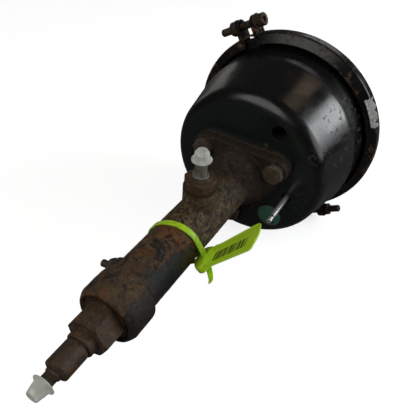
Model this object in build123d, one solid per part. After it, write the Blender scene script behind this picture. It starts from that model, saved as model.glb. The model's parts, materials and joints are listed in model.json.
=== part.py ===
from build123d import *
import os
from math import cos, hypot, radians, sin, sqrt, tan

# Spring-return brake chamber that drives a hydraulic cylinder. Air fills the space behind a
# diaphragm, the diaphragm drives a plate and a push rod, and the rod drives the piston of the
# cylinder bolted to the front of the chamber.
#
# Millimetres. The origin is the centre of the rear mounting face, +X runs along the chamber
# towards the hydraulic outlet, and +Z is the side of the feed port. Angles round the axis are
# counted from +Y towards +Z.

# ---- Driving dimensions: chamber ----
WALL = 3.0                    # pressed steel of both shells
REAR_DEPTH = 45.0             # mounting face to the clamped rim
FRONT_DEPTH = 98.0            # clamped rim to the front face
RIM_R = 99.5                  # both clamped rims
RIM_WIDTH = 9.5               # rims outside the shells' mouths
REAR_TAPER = 6.0              # how much narrower the rear face is than the mouth
REAR_CORNER_R = 12.0
BARREL_LENGTH = 35.0          # nearly straight part of the front shell behind its rim
BARREL_TAPER = 0.5            # how much the straight part narrows
CONE_TAPER = 12.0             # how much the cone narrows from there to the front face
FRONT_CORNER_R = 14.0
RIM_BEND_R = 4.0              # bend between a shell's wall and its rim, outside
DIAPHRAGM_T = 3.0
DIAPHRAGM_GAP = 5.5           # rear cover's floor to the diaphragm at rest
DIAPHRAGM_DRAFT = 6.5         # how much narrower the diaphragm is at its floor than at its rim
DIAPHRAGM_CORNER_R = 10.0
DIAPHRAGM_WALL_GAP = 1.5      # inside of the rear cover's mouth to the diaphragm
SOFT_GAP = 0.3                # soft pieces to what moves beside them

# ---- Driving dimensions: rear fittings ----
STUD_R = 8.0
STUD_INSET = 23.675           # edge of the rear face to the studs' axes
STUD_NECK_R = 7.5             # studs inside the cover's sheet
STUD_LENGTH = 30.0
STUD_HEAD_R = 11.0
STUD_HEAD_T = 4.0
PORT_R = 7.25                 # core of the M16 air and vent ports
INLET_BOSS_R = 13.0
INLET_BOSS_HEIGHT = 10.0
INLET_RIM_R = 16.0            # boss's rim against the inside of the cover
INLET_RIM_T = 2.0

# ---- Driving dimensions: inside the chamber ----
STROKE = 60.0
PLATE_R = 62.0
PLATE_T = 4.0
PLATE_HUB_R = 22.0
PLATE_HUB_HEIGHT = 6.0
PLATE_HUB_TAPER = 4.0
PLATE_EDGE_R = 1.8
ROD_R = 8.0
ROD_SEAT_FLOOR = 2.0          # thickness left under the rod in the plate
ROD_FOOT_R = 3.6
SPRING_WIRE = 4.5
SPRING_MEAN_R = 30.0
SPRING_TURNS = 7.5
SPRING_SEAT_RIM = 2.5         # height of the plate's rim round the spring
SPRING_SEAT_RIM_W = 3.0
SPRING_SEAT_GAP = 0.4         # spring's outside to that rim

# ---- Driving dimensions: clamp ring ----
CLAMP_T = 2.5
CLAMP_FLANK_DEG = 25.0
CLAMP_LIP_DEPTH = 6.0         # rims' edge to the mouth of the V
CLAMP_STACK_GAP = 0.15        # rims to the V's flanks
CLAMP_INNER_BEND_R = 0.5
CLAMP_WEB_GAP = 1.2           # rim to the inside of the ring
CLAMP_BEND_R = 3.0
CLAMP_SPLIT_DEG = 121.0       # where the two halves meet
EAR_HALF_GAP = 7.0
EAR_T = 4.0
EAR_W = 18.0
EAR_EDGE = 7.5                # clamp bolts' axes to the ears' tips
CLAMP_BOLT_R = 4.0
CLAMP_BOLT_HEAD_R = 6.5
CLAMP_BOLT_HEAD_H = 8.0
CLAMP_BOLT_KEY = 6.0          # across flats of the hexagon socket
CLAMP_BOLT_REACH = 32.0       # split to the end of the thread
CLAMP_BOLT_STANDOFF = 10.8    # outside of the ring to the bolts' axes
CLAMP_NUT_AF = 13.0
CLAMP_NUT_H = 6.5
CLAMP_WASHER_R = 8.0
CLAMP_WASHER_T = 1.6

# ---- Driving dimensions: front flange ----
FLANGE_BOLT_CIRCLE_R = 42.5
FLANGE_CORNER_R = 11.75
FLANGE_FIRST_DEG = 30.0
FLANGE_T = 10.5
PAD_T = 4.5
GASKET_T = 0.5
BACKING_T = 6.0
FLANGE_BOLT_R = 5.0
FLANGE_BOLT_AF = 17.0
FLANGE_BOLT_HEAD_H = 6.5
FLANGE_BOLT_END = 3.0         # thread past the backing plate
FLANGE_BOLT_TURN_DEG = 17.0   # each head stands this much further round than the last
THREAD_CHAMFER = 1.0
HEAD_EDGE_R = 1.0
BOLT_HOLE_GAP = 0.5
SPIGOT_R = 23.8

# ---- Driving dimensions: hydraulic cylinder ----
BORE_R = 14.0
TUBE_R = 20.9
ROOT_R = 30.0                 # foot of the dome on the flange
ROOT_STEP = 4.0               # straight foot of the dome above the flange
ROOT_LENGTH = 14.0
ROOT_FOOT_R = 4.0             # bends of the dome
ROOT_TOP_R = 8.0
COLLAR_R = 25.0
COLLAR_START = 325.5
COLLAR_RISE = 4.5
COLLAR_FOOT_R = 1.5
COLLAR_BEND_R = 3.0
COLLAR_CHAMFER_START = 350.5
CYLINDER_END = 355.5
CYLINDER_END_R = 22.4
SEAL_RECESS_DEPTH = 2.5
SEAL_RECESS_GAP = 2.5         # round the plug's seal
FEED_X = 232.3
FEED_BOSS_R = 14.0
FEED_BOSS_H = 34.0
FEED_PORT_R = 9.0
FEED_PORT_DEPTH = 10.0
FEED_DRILL_R = 2.5
BLEED_X = 313.0
BLEED_DEG = 188.0
BLEED_BOSS_R = 9.7
BLEED_BOSS_H = 23.6
BLEED_PORT_R = 4.2
BLEED_PORT_DEPTH = 6.0
BLEED_DRILL_R = 1.5
FEED_ROOT_R = 3.5             # fillet round the foot of each boss
BLEED_ROOT_R = 1.5

# ---- Driving dimensions: piston group ----
GUIDE_LENGTH = 26.0
GUIDE_START = 2.0             # guide set back from the spigot's end
CIRCLIP_T = 1.2
CIRCLIP_DEPTH = 1.2
CIRCLIP_W = 3.0
PISTON_START = 168.0
PISTON_LENGTH = 54.0
PISTON_WAIST_R = 10.5
PISTON_LAND = 9.0
PISTON_CONE = 3.0
ROD_SOCKET_DEPTH = 8.0
RUNNING_GAP = 0.04            # radial, sliding fits
PUSH_GAP = 0.02               # radial, pieces pushed into a bore
CUP_T = 6.0
CUP_LIP = 2.5
CUP_LIP_EDGE = 1.2
CUP_BEND_R = 1.0
SEAL_RING_W = 4.0
SEAL_RING_BEVEL = 0.6
SPRING_SEAT_T = 2.0
SPRING_SEAT_CLEAR = 1.8       # cup's lip to the spring's seat
SPRING_SEAT_BOSS_GAP = 0.6    # seat's boss to the inside of the spring
SPRING_SEAT_BOSS_TAPER = 0.8
PISTON_SPRING_WIRE = 2.4
PISTON_SPRING_R = 10.2
PISTON_SPRING_TURNS = 11.0

# ---- Driving dimensions: hydraulic outlet ----
PLUG_AF = 30.0
PLUG_THREAD_R = 15.0
PLUG_THREAD_LENGTH = 14.5
PLUG_SEAL_R = 18.0
PLUG_SEAL_T = 1.5
PLUG_HEX_LENGTH = 19.5
PLUG_NECK_R = 10.5
PLUG_NECK_LENGTH = 7.2
ADAPTER_SEAL_R = 8.5
ADAPTER_SEAL_T = 1.2
ADAPTER_R = 9.25
ADAPTER_LENGTH = 20.9
ADAPTER_NOSE_R = 6.2
ADAPTER_THREAD_R = 6.0
ADAPTER_THREAD_LENGTH = 9.0
STUB_SHANK_R = 5.8
STUB_SHANK_LENGTH = 2.0
STUB_R = 5.0
STUB_THREAD_LENGTH = 10.0
STUB_LAND_R = 4.5             # plain end of both stubs, gripped by their caps
STUB_NOSE_R = 3.5
STUB_NOSE_LENGTH = 2.2
STUB_TAIL = 8.0
STUB_TAIL_R = 4.0
STUB_BORE_R = 2.0

# ---- Driving dimensions: feed and bleed fittings ----
FEED_SEAL_T = 2.0
FEED_HEX_AF = 24.0
FEED_TURN_DEG = 10.0
FEED_HEX_H = 8.5
FEED_SHOULDER_R = 9.5
FEED_SHOULDER_H = 1.5
FEED_THREAD_LENGTH = 9.0
FEED_STUB_RING_R = 6.8
FEED_STUB_RING_H = 2.0
FEED_STUB_R = 5.0
FEED_STUB_H = 17.0
FEED_STUB_NOSE_R = 3.6
FEED_STUB_NOSE_H = 2.0
FEED_STUB_TAIL = 7.0
BLEED_HEX_AF = 13.0
BLEED_HEX_H = 6.0
BLEED_TUBE_R = 3.1
BLEED_TUBE_H = 8.1
BLEED_SHOULDER_W = 0.6
BLEED_SHOULDER_H = 0.8
BLEED_TUBE_BORE_R = 2.0
BLEED_THREAD_LENGTH = 5.5

# ---- Driving dimensions: push-on caps ----
CAP_BRIM_R = 8.4
CAP_BRIM_T = 1.2
CAP_WALL = 1.4
CAP_TIP_R = 4.7
CAP_LENGTH = 10.7
CAP_BEND_R = 2.0
CAP_TIP_EDGE_R = 0.8
CAP_OVERLAP = 3.5             # straight land that each cap covers
CAP_LEAD = 0.5                # the land starts this far before the cap
CAP_NOSE_GAP = 0.3            # land's end to the start of the cap's taper
FEED_CAP_LENGTH = 9.5

# ---- Driving dimensions: stroke indicator and vent ----
INDICATOR_INSET = 27.16        # edge of the front face to the pin's axis
INDICATOR_DEG = -15.55
INDICATOR_R = 2.4
INDICATOR_TRAVEL = 26.0
INDICATOR_MARGIN = 1.2        # plate at full stroke to the pin pushed right in
INDICATOR_OUT = 40.5          # front face to the tip with the pin out
INDICATOR_RING_X = 6.0
INDICATOR_RING_W = 1.0
INDICATOR_RING_DEPTH = 0.5
INDICATOR_DIMPLE_R = 1.4
INDICATOR_DIMPLE_DEPTH = 3.0
INDICATOR_GUIDE_R = 6.3
INDICATOR_GUIDE_LENGTH = 16.0
INDICATOR_FLANGE_R = 10.0
INDICATOR_FLANGE_T = 2.0
INDICATOR_MOUTH_R = 4.6
INDICATOR_MOUTH_DEPTH = 4.0
INDICATOR_CLIP_R = 5.0
INDICATOR_CLIP_T = 1.0
SMALL_EDGE_R = 0.4            # edges of small turned and moulded pieces
VENT_INSET = 18.35             # edge of the front face to the vent's axis
VENT_DEG = 60.53
VENT_BOSS_WALL = 2.6
VENT_BOSS_LENGTH = 12.0

# ---- Driving dimensions: seal with its tag ----
SEAL_FROM_FEED = 33.2         # feed port to the strap, along the cylinder
SEAL_KNOT_R = 1.5
SEAL_STRAP_T = 1.2
SEAL_STRAP_W = 4.0
SEAL_GAP = 0.25
TAG_Y = 27.0
TAG_Z = -4.4
TAG_LENGTH = 68.0
TAG_W = 32.0
TAG_T = 1.4
TAG_TIP_R = 9.0
TAG_HEAD_LENGTH = 19.0
TAG_HEAD_T = 5.0
TAG_HEAD_INSET = 4.0
TAG_TAIL = 20.0
TAG_RIGHT = (-0.201, 0.658, 0.726)     # along the tag, away from its head
TAG_NORMAL = (0.090, -0.725, 0.682)    # out of the tag's printed side

# ---- Radii and stations that follow from them ----
mouth_r = RIM_R - RIM_WIDTH
rear_face_r = mouth_r - REAR_TAPER
shoulder_r = mouth_r - BARREL_TAPER
front_face_r = shoulder_r - CONE_TAPER
clamp_lip_r = RIM_R - CLAMP_LIP_DEPTH
clamp_web_r = RIM_R + CLAMP_WEB_GAP
clamp_outer_r = clamp_web_r + CLAMP_T
clamp_bolt_r = clamp_outer_r + CLAMP_BOLT_STANDOFF
ear_tip_r = clamp_bolt_r + EAR_EDGE
stud_y = rear_face_r - STUD_INSET
seal_x = FEED_X + SEAL_FROM_FEED
rear_rim = REAR_DEPTH
front_rim = rear_rim + DIAPHRAGM_T
front_face = front_rim + FRONT_DEPTH
pad_front = front_face + PAD_T
flange_back = pad_front + GASKET_T
flange_front = flange_back + FLANGE_T
backing_back = front_face - WALL - BACKING_T
plate_back = WALL + DIAPHRAGM_GAP + DIAPHRAGM_T + SOFT_GAP
plate_front = plate_back + PLATE_T
piston_front = PISTON_START + PISTON_LENGTH
plug_inner_end = CYLINDER_END - SEAL_RECESS_DEPTH + PLUG_SEAL_T - PLUG_THREAD_LENGTH
plug_hex_start = plug_inner_end + PLUG_THREAD_LENGTH
plug_hex_end = plug_hex_start + PLUG_HEX_LENGTH
plug_end = plug_hex_end + PLUG_NECK_LENGTH
adapter_start = plug_end + ADAPTER_SEAL_T
adapter_end = adapter_start + ADAPTER_LENGTH
stub_thread_start = adapter_end + STUB_SHANK_LENGTH
stub_thread_end = stub_thread_start + STUB_THREAD_LENGTH
stub_end = stub_thread_end + STUB_NOSE_LENGTH
feed_adapter_foot = FEED_BOSS_H + FEED_SEAL_T
feed_adapter_top = feed_adapter_foot + FEED_HEX_H + FEED_SHOULDER_H
feed_land_top = feed_adapter_top + FEED_STUB_RING_H + FEED_STUB_H
feed_stub_top = feed_land_top + FEED_STUB_NOSE_H
clamp_x = rear_rim + DIAPHRAGM_T / 2
clamp_half_stack = WALL + DIAPHRAGM_T / 2
flank = tan(radians(CLAMP_FLANK_DEG))


# ---- Shapes that several pieces share ----
def turned(points, radii=None):
    """Solid turned about X from (x, r) corners; radii rounds the corners one by one."""
    if radii is None:
        return revolve(Plane.XZ * make_face(Polyline(*points, close=True)), Axis.X)
    outline = FilletPolyline(*points, radius=radii, close=True)
    return revolve(Plane.XZ * make_face(outline), Axis.X)


def rod(radius, start, end):
    return turned([(start, 0), (start, radius), (end, radius), (end, 0)])


def tube(inner, outer, start, end):
    return turned([(start, inner), (start, outer), (end, outer), (end, inner)])


def sheet(outer_points, bends, wall):
    """Shell of constant thickness turned about X; the sheet lies to the right of the points."""
    count = len(outer_points)
    units = []
    for (x0, r0), (x1, r1) in zip(outer_points, outer_points[1:]):
        run = hypot(x1 - x0, r1 - r0)
        units.append(((x1 - x0) / run, (r1 - r0) / run))
    inner_points = []
    inner_bends = []
    for i, (x, r) in enumerate(outer_points):
        before = units[max(i - 1, 0)]
        after = units[min(i, count - 2)]
        spread = 1 + before[0] * after[0] + before[1] * after[1]
        inner_points.append((x + wall * (before[1] + after[1]) / spread,
                             r - wall * (before[0] + after[0]) / spread))
        turn = before[0] * after[1] - before[1] * after[0]
        grown = bends[i] + wall if turn > 0 else max(bends[i] - wall, 0)
        inner_bends.append(grown if bends[i] else 0)
    return turned(outer_points + inner_points[::-1], bends + inner_bends[::-1])


def hexagon(across_flats, start, end, bevel_start=True, bevel_end=True):
    """Hexagon bar along X with its corners turned off at 30 degrees."""
    flat_r = across_flats / 2
    corner_r = across_flats / sqrt(3)
    bevel = (corner_r - flat_r) * tan(radians(30))
    prism = Plane.YZ.offset(start) * extrude(RegularPolygon(corner_r, 6), end - start)
    corners = [(start, 0)]
    corners += [(start, flat_r), (start + bevel, corner_r)] if bevel_start else [(start, corner_r)]
    corners += [(end - bevel, corner_r), (end, flat_r)] if bevel_end else [(end, corner_r)]
    corners += [(end, 0)]
    return prism & turned(corners)


def coil(wire, mean_r, turns, start, end):
    """Compression spring along X with ground ends."""
    pitch = (end - start) / turns
    path = Helix(pitch, end - start + 2 * pitch, mean_r, (start - pitch, 0, 0), (1, 0, 0))
    section = Plane(path @ 0, z_dir=path % 0) * Circle(wire / 2)
    length = end - start
    keep = Pos(start + length / 2, 0, 0) * Box(length, 4 * mean_r, 4 * mean_r)
    return sweep(section, path, is_frenet=True) & keep


def across_axis(x, degrees_round):
    """Plane whose X axis leaves the chamber's axis at x, in the given direction."""
    outward = (0, cos(radians(degrees_round)), sin(radians(degrees_round)))
    return Plane(origin=(x, 0, 0), x_dir=outward, z_dir=(1, 0, 0))


feed_axis = across_axis(FEED_X, 90)
bleed_axis = across_axis(BLEED_X, BLEED_DEG)
indicator_axis = Rot(INDICATOR_DEG, 0, 0) * Pos(0, front_face_r - INDICATOR_INSET, 0)
vent_axis = Rot(VENT_DEG, 0, 0) * Pos(0, front_face_r - VENT_INSET, 0)
flange_spots = [Rot(FLANGE_FIRST_DEG + 120 * i, 0, 0) * Pos(0, FLANGE_BOLT_CIRCLE_R, 0)
                for i in range(3)]


def three_corner_plate(start, thickness, hole_r):
    """Plate in the outline that the pad, gasket, backing plate and flange share."""
    corner = Circle(FLANGE_CORNER_R)
    spots = [FLANGE_FIRST_DEG + 120 * i for i in range(3)]
    corners = Sketch() + [Rot(0, 0, a) * Pos(FLANGE_BOLT_CIRCLE_R, 0) * corner for a in spots]
    plate = extrude(make_hull(corners.edges()), thickness)
    plate = Plane.YZ.offset(start) * plate
    for spot in flange_spots:
        plate -= spot * rod(hole_r, start - 1, start + thickness + 1)
    return plate


# ---- Shells and diaphragm ----
def rear_cover():
    corners = [(0, INLET_BOSS_R + PUSH_GAP), (0, rear_face_r), (rear_rim - WALL, mouth_r),
               (rear_rim - WALL, RIM_R)]
    shell = sheet(corners, [0, REAR_CORNER_R, RIM_BEND_R, 0], WALL)
    for side in (-1, 1):
        shell -= Pos(0, side * stud_y, 0) * rod(STUD_R + PUSH_GAP, -1, WALL + 1)
    return shell


def front_housing():
    shoulder_x = front_rim + WALL + BARREL_LENGTH
    corners = [(front_rim + WALL, RIM_R), (front_rim + WALL, mouth_r), (shoulder_x, shoulder_r),
               (front_face, front_face_r), (front_face, SPIGOT_R + PUSH_GAP)]
    shell = sheet(corners, [0, RIM_BEND_R, 2 * FRONT_CORNER_R, FRONT_CORNER_R, 0], WALL)
    hole = (front_face - WALL - 1, front_face + 1)
    for spot in flange_spots:
        shell -= spot * rod(FLANGE_BOLT_R + BOLT_HOLE_GAP, *hole)
    shell -= vent_axis * rod(PORT_R, *hole)
    shell -= indicator_axis * rod(INDICATOR_GUIDE_R + PUSH_GAP, *hole)
    return shell


def diaphragm():
    floor_x = WALL + DIAPHRAGM_GAP
    neck_r = mouth_r - WALL - DIAPHRAGM_WALL_GAP
    corners = [(floor_x, 0), (floor_x, neck_r - DIAPHRAGM_DRAFT), (rear_rim, neck_r),
               (rear_rim, RIM_R)]
    return sheet(corners, [0, DIAPHRAGM_CORNER_R, RIM_BEND_R, 0], DIAPHRAGM_T)


def air_inlet_boss():
    start = -INLET_BOSS_HEIGHT
    end = WALL + INLET_RIM_T
    return turned([(start, PORT_R + THREAD_CHAMFER), (start, INLET_BOSS_R), (WALL, INLET_BOSS_R),
                   (WALL, INLET_RIM_R), (end, INLET_RIM_R), (end, PORT_R),
                   (start + THREAD_CHAMFER, PORT_R)])


def mounting_studs():
    end = -STUD_LENGTH
    head_end = WALL + STUD_HEAD_T
    stud = turned([(end, 0), (end, STUD_R - THREAD_CHAMFER), (end + THREAD_CHAMFER, STUD_R),
                   (0, STUD_R), (0, STUD_NECK_R), (WALL, STUD_NECK_R), (WALL, STUD_HEAD_R),
                   (head_end, STUD_HEAD_R), (head_end, 0)])
    return [Pos(0, side * stud_y, 0) * stud for side in (-1, 1)]


# ---- Inside the chamber ----
def pressure_plate():
    rim_inner = SPRING_MEAN_R + SPRING_WIRE / 2 + SPRING_SEAT_GAP
    hub_front = plate_front + PLATE_HUB_HEIGHT
    floor_x = plate_back + ROD_SEAT_FLOOR
    return turned([(plate_back, 0), (plate_back, PLATE_R), (plate_front, PLATE_R),
                   (plate_front, rim_inner + SPRING_SEAT_RIM_W),
                   (plate_front + SPRING_SEAT_RIM, rim_inner + SPRING_SEAT_RIM_W),
                   (plate_front + SPRING_SEAT_RIM, rim_inner),
                   (plate_front, rim_inner), (plate_front, PLATE_HUB_R),
                   (hub_front, PLATE_HUB_R - PLATE_HUB_TAPER), (hub_front, ROD_R + PUSH_GAP),
                   (floor_x, ROD_R + PUSH_GAP), (floor_x, 0)],
                  [0, PLATE_EDGE_R, PLATE_EDGE_R, 0, HEAD_EDGE_R, 0, 0, 0, HEAD_EDGE_R, 0, 0, 0])


def push_rod():
    start = plate_back + ROD_SEAT_FLOOR
    end = PISTON_START + ROD_SOCKET_DEPTH
    return turned([(start, 0), (start, ROD_R), (end, ROD_R), (end, 0)], [0, 0, ROD_FOOT_R, 0])


def return_spring():
    return coil(SPRING_WIRE, SPRING_MEAN_R, SPRING_TURNS, plate_front, backing_back)


# ---- Clamp ring ----
def clamp_half():
    """One half of the V ring with an ear at each end, on the +Z side of the split plane."""
    def v_side(r, thickness=0.0):
        rise = RIM_R - r
        skew = thickness / cos(radians(CLAMP_FLANK_DEG))
        return clamp_half_stack + CLAMP_STACK_GAP + rise * flank + skew

    web = v_side(clamp_web_r)
    outer_web = v_side(clamp_outer_r, CLAMP_T)
    lip = v_side(clamp_lip_r)
    outer_lip = v_side(clamp_lip_r, CLAMP_T)
    section = [(clamp_x - outer_lip, clamp_lip_r), (clamp_x - outer_web, clamp_outer_r),
               (clamp_x + outer_web, clamp_outer_r), (clamp_x + outer_lip, clamp_lip_r),
               (clamp_x + lip, clamp_lip_r), (clamp_x + web, clamp_web_r),
               (clamp_x - web, clamp_web_r), (clamp_x - lip, clamp_lip_r)]
    inner_bend = CLAMP_INNER_BEND_R
    ring = turned(section, [0, CLAMP_BEND_R, CLAMP_BEND_R, 0, 0, inner_bend, inner_bend, 0])
    half_space = Pos(clamp_x, 0, EAR_HALF_GAP + RIM_R) * Box(4 * RIM_R, 4 * RIM_R, 2 * RIM_R)
    half = ring & half_space
    tip = EAR_W / 2
    for side in (-1, 1):
        reach = ear_tip_r - tip - clamp_web_r
        blank = Pos(clamp_web_r + reach / 2, 0) * Rectangle(reach, EAR_W)
        blank += Pos(ear_tip_r - tip, 0) * Circle(tip)
        blank -= Pos(clamp_bolt_r, 0) * Circle(CLAMP_BOLT_R + BOLT_HOLE_GAP)
        ear_plane = Plane((clamp_x, 0, EAR_HALF_GAP), x_dir=(0, side, 0), z_dir=(0, 0, 1))
        half += ear_plane * extrude(blank, EAR_T)
    return half


def on_split(piece):
    """The piece at both splits of the ring; it is made at the first one, bolt axis along Z."""
    first = Rot(CLAMP_SPLIT_DEG, 0, 0) * Pos(clamp_x, clamp_bolt_r, 0)
    return [turn * first * piece for turn in (Rot(0, 0, 0), Rot(180, 0, 0))]


def standing(piece):
    """A piece made along X, stood up along Z."""
    return Plane(origin=(0, 0, 0), x_dir=(0, 0, 1), z_dir=(1, 0, 0)) * piece


def clamp_bolts():
    seat = -EAR_HALF_GAP - EAR_T - CLAMP_WASHER_T
    head = turned([(seat - CLAMP_BOLT_HEAD_H, 0), (seat - CLAMP_BOLT_HEAD_H, CLAMP_BOLT_HEAD_R),
                   (seat, CLAMP_BOLT_HEAD_R), (seat, 0)], [0, HEAD_EDGE_R, 0, 0])
    socket = CLAMP_BOLT_HEAD_H / 2
    head -= hexagon(CLAMP_BOLT_KEY, seat - CLAMP_BOLT_HEAD_H - 1,
                    seat - CLAMP_BOLT_HEAD_H + socket, False, False)
    end = CLAMP_BOLT_REACH
    shank = turned([(seat, 0), (seat, CLAMP_BOLT_R), (end - THREAD_CHAMFER, CLAMP_BOLT_R),
                    (end, CLAMP_BOLT_R - THREAD_CHAMFER), (end, 0)])
    return on_split(standing(head + shank))


def clamp_nuts():
    start = EAR_HALF_GAP + EAR_T + CLAMP_WASHER_T
    nut = hexagon(CLAMP_NUT_AF, start, start + CLAMP_NUT_H)
    nut -= rod(CLAMP_BOLT_R + PUSH_GAP, start - 1, start + CLAMP_NUT_H + 1)
    return on_split(standing(nut))


def clamp_washers():
    outer = EAR_HALF_GAP + EAR_T
    washer = tube(CLAMP_BOLT_R + BOLT_HOLE_GAP / 2, CLAMP_WASHER_R, outer, outer + CLAMP_WASHER_T)
    other = Rot(0, 180, 0) * standing(washer)
    return on_split(standing(washer)) + on_split(other)


# ---- Front flange ----
def reinforcing_pad():
    plate = three_corner_plate(front_face, PAD_T, FLANGE_BOLT_R + BOLT_HOLE_GAP)
    return plate - rod(SPIGOT_R + PUSH_GAP, front_face - 1, pad_front + 1)


def flange_gasket():
    plate = three_corner_plate(pad_front, GASKET_T, FLANGE_BOLT_R + BOLT_HOLE_GAP)
    return plate - rod(SPIGOT_R + PUSH_GAP, pad_front - 1, flange_back + 1)


def backing_plate():
    plate = three_corner_plate(backing_back, BACKING_T, FLANGE_BOLT_R + PUSH_GAP)
    return plate - rod(SPIGOT_R + PUSH_GAP, backing_back - 1, front_face)


def flange_bolts():
    end = backing_back - FLANGE_BOLT_END
    bolt = hexagon(FLANGE_BOLT_AF, flange_front, flange_front + FLANGE_BOLT_HEAD_H, False)
    bolt += turned([(end, 0), (end, FLANGE_BOLT_R - THREAD_CHAMFER),
                    (end + THREAD_CHAMFER, FLANGE_BOLT_R), (flange_front, FLANGE_BOLT_R),
                    (flange_front, 0)])
    turn = FLANGE_BOLT_TURN_DEG
    return [spot * Rot(turn * (i + 1), 0, 0) * bolt for i, spot in enumerate(flange_spots)]


# ---- Hydraulic cylinder ----
def hydraulic_cylinder():
    spigot = rod(SPIGOT_R, backing_back, flange_back)
    flange = three_corner_plate(flange_back, FLANGE_T, FLANGE_BOLT_R + BOLT_HOLE_GAP)
    dome_end = flange_front + ROOT_LENGTH
    body = turned([(flange_back, 0), (flange_back, ROOT_R), (flange_front + ROOT_STEP, ROOT_R),
                   (dome_end, TUBE_R), (COLLAR_START, TUBE_R),
                   (COLLAR_START + COLLAR_RISE, COLLAR_R), (COLLAR_CHAMFER_START, COLLAR_R),
                   (CYLINDER_END, CYLINDER_END_R), (CYLINDER_END, 0)],
                  [0, 0, ROOT_FOOT_R, ROOT_TOP_R, COLLAR_FOOT_R, COLLAR_BEND_R, 0, 0, 0])
    feed_boss = feed_axis * rod(FEED_BOSS_R, 0, FEED_BOSS_H)
    bleed_boss = bleed_axis * rod(BLEED_BOSS_R, 0, BLEED_BOSS_H)
    casting = body + feed_boss + bleed_boss
    bosses = [(FEED_X, FEED_BOSS_R, FEED_ROOT_R), (BLEED_X, BLEED_BOSS_R, BLEED_ROOT_R)]
    for x, boss_r, root_r in bosses:
        near = casting.edges().filter_by_position(Axis.X, x - boss_r - 1, x + boss_r + 1)
        roots = [edge for edge in near if edge.geom_type == GeomType.BSPLINE]
        casting = fillet(roots, root_r)
    casting = casting + flange + spigot

    guide_end = backing_back + GUIDE_START + GUIDE_LENGTH
    casting -= rod(BORE_R, backing_back - 1, CYLINDER_END + 1)
    casting -= rod(PLUG_THREAD_R + PUSH_GAP, plug_inner_end - 1, CYLINDER_END + 1)
    recess_r = PLUG_SEAL_R + SEAL_RECESS_GAP
    casting -= rod(recess_r, CYLINDER_END - SEAL_RECESS_DEPTH, CYLINDER_END + 1)
    clip_x = backing_back + GUIDE_START - CIRCLIP_T
    casting -= rod(BORE_R + CIRCLIP_DEPTH, clip_x, backing_back + GUIDE_START)
    feed_floor = FEED_BOSS_H - FEED_PORT_DEPTH
    casting -= feed_axis * rod(FEED_PORT_R + PUSH_GAP, feed_floor, FEED_BOSS_H + 1)
    casting -= feed_axis * rod(FEED_DRILL_R, 0, FEED_BOSS_H)
    bleed_floor = BLEED_BOSS_H - BLEED_PORT_DEPTH
    casting -= bleed_axis * rod(BLEED_PORT_R + PUSH_GAP, bleed_floor, BLEED_BOSS_H + 1)
    casting -= bleed_axis * rod(BLEED_DRILL_R, 0, BLEED_BOSS_H)
    return casting


def rod_guide():
    start = backing_back + GUIDE_START
    return tube(ROD_R + RUNNING_GAP, BORE_R - PUSH_GAP, start, start + GUIDE_LENGTH)


def guide_circlip():
    outer = BORE_R + CIRCLIP_DEPTH - PUSH_GAP
    end = backing_back + GUIDE_START
    ring = tube(outer - CIRCLIP_W, outer, end - CIRCLIP_T, end)
    return ring - Pos(end, outer, 0) * Box(4 * CIRCLIP_T, 3 * CIRCLIP_W, 2 * CIRCLIP_W)


def hydraulic_piston():
    land_r = BORE_R - RUNNING_GAP
    groove_r = land_r - SEAL_RING_W
    groove_start = PISTON_START + PISTON_LAND / 2
    groove_end = groove_start + SEAL_RING_W
    rear_land = groove_end + PISTON_LAND / 2
    body = turned([(PISTON_START, 0), (PISTON_START, land_r), (groove_start, land_r),
                   (groove_start, groove_r), (groove_end, groove_r), (groove_end, land_r),
                   (rear_land, land_r), (rear_land + PISTON_CONE, PISTON_WAIST_R),
                   (piston_front - PISTON_LAND - PISTON_CONE, PISTON_WAIST_R),
                   (piston_front - PISTON_LAND, land_r), (piston_front, land_r),
                   (piston_front, 0)])
    socket_end = PISTON_START + ROD_SOCKET_DEPTH
    socket = turned([(PISTON_START - 1, 0), (PISTON_START - 1, ROD_R + PUSH_GAP),
                     (socket_end, ROD_R + PUSH_GAP), (socket_end, 0)])
    return body - socket


def secondary_seal():
    start = PISTON_START + PISTON_LAND / 2 + SOFT_GAP
    end = start + SEAL_RING_W - 2 * SOFT_GAP
    outer = BORE_R - RUNNING_GAP
    inner = outer - SEAL_RING_W + PUSH_GAP
    bevel = SEAL_RING_BEVEL
    return turned([(start, inner), (start, outer - bevel), (start + bevel, outer),
                   (end - bevel, outer), (end, outer - bevel), (end, inner)])


def primary_cup():
    outer = BORE_R - RUNNING_GAP
    start = piston_front
    end = start + CUP_T
    inner = outer - CUP_LIP - CUP_BEND_R
    return turned([(start, 0), (start, outer), (end, outer), (end, outer - CUP_LIP_EDGE),
                   (start + CUP_LIP, inner), (start + CUP_LIP, 0)],
                  [0, SMALL_EDGE_R, 0, 0, CUP_BEND_R, 0])


def spring_seat():
    start = piston_front + CUP_LIP
    outer = BORE_R - RUNNING_GAP - CUP_LIP - SPRING_SEAT_CLEAR
    boss_r = PISTON_SPRING_R - PISTON_SPRING_WIRE / 2 - SPRING_SEAT_BOSS_GAP
    return turned([(start, 0), (start, outer), (start + SPRING_SEAT_T, outer),
                   (start + SPRING_SEAT_T, boss_r),
                   (start + 2 * SPRING_SEAT_T, boss_r - SPRING_SEAT_BOSS_TAPER),
                   (start + 2 * SPRING_SEAT_T, 0)])


def piston_spring():
    start = piston_front + CUP_LIP + SPRING_SEAT_T
    return coil(PISTON_SPRING_WIRE, PISTON_SPRING_R, PISTON_SPRING_TURNS, start, plug_inner_end)


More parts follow.
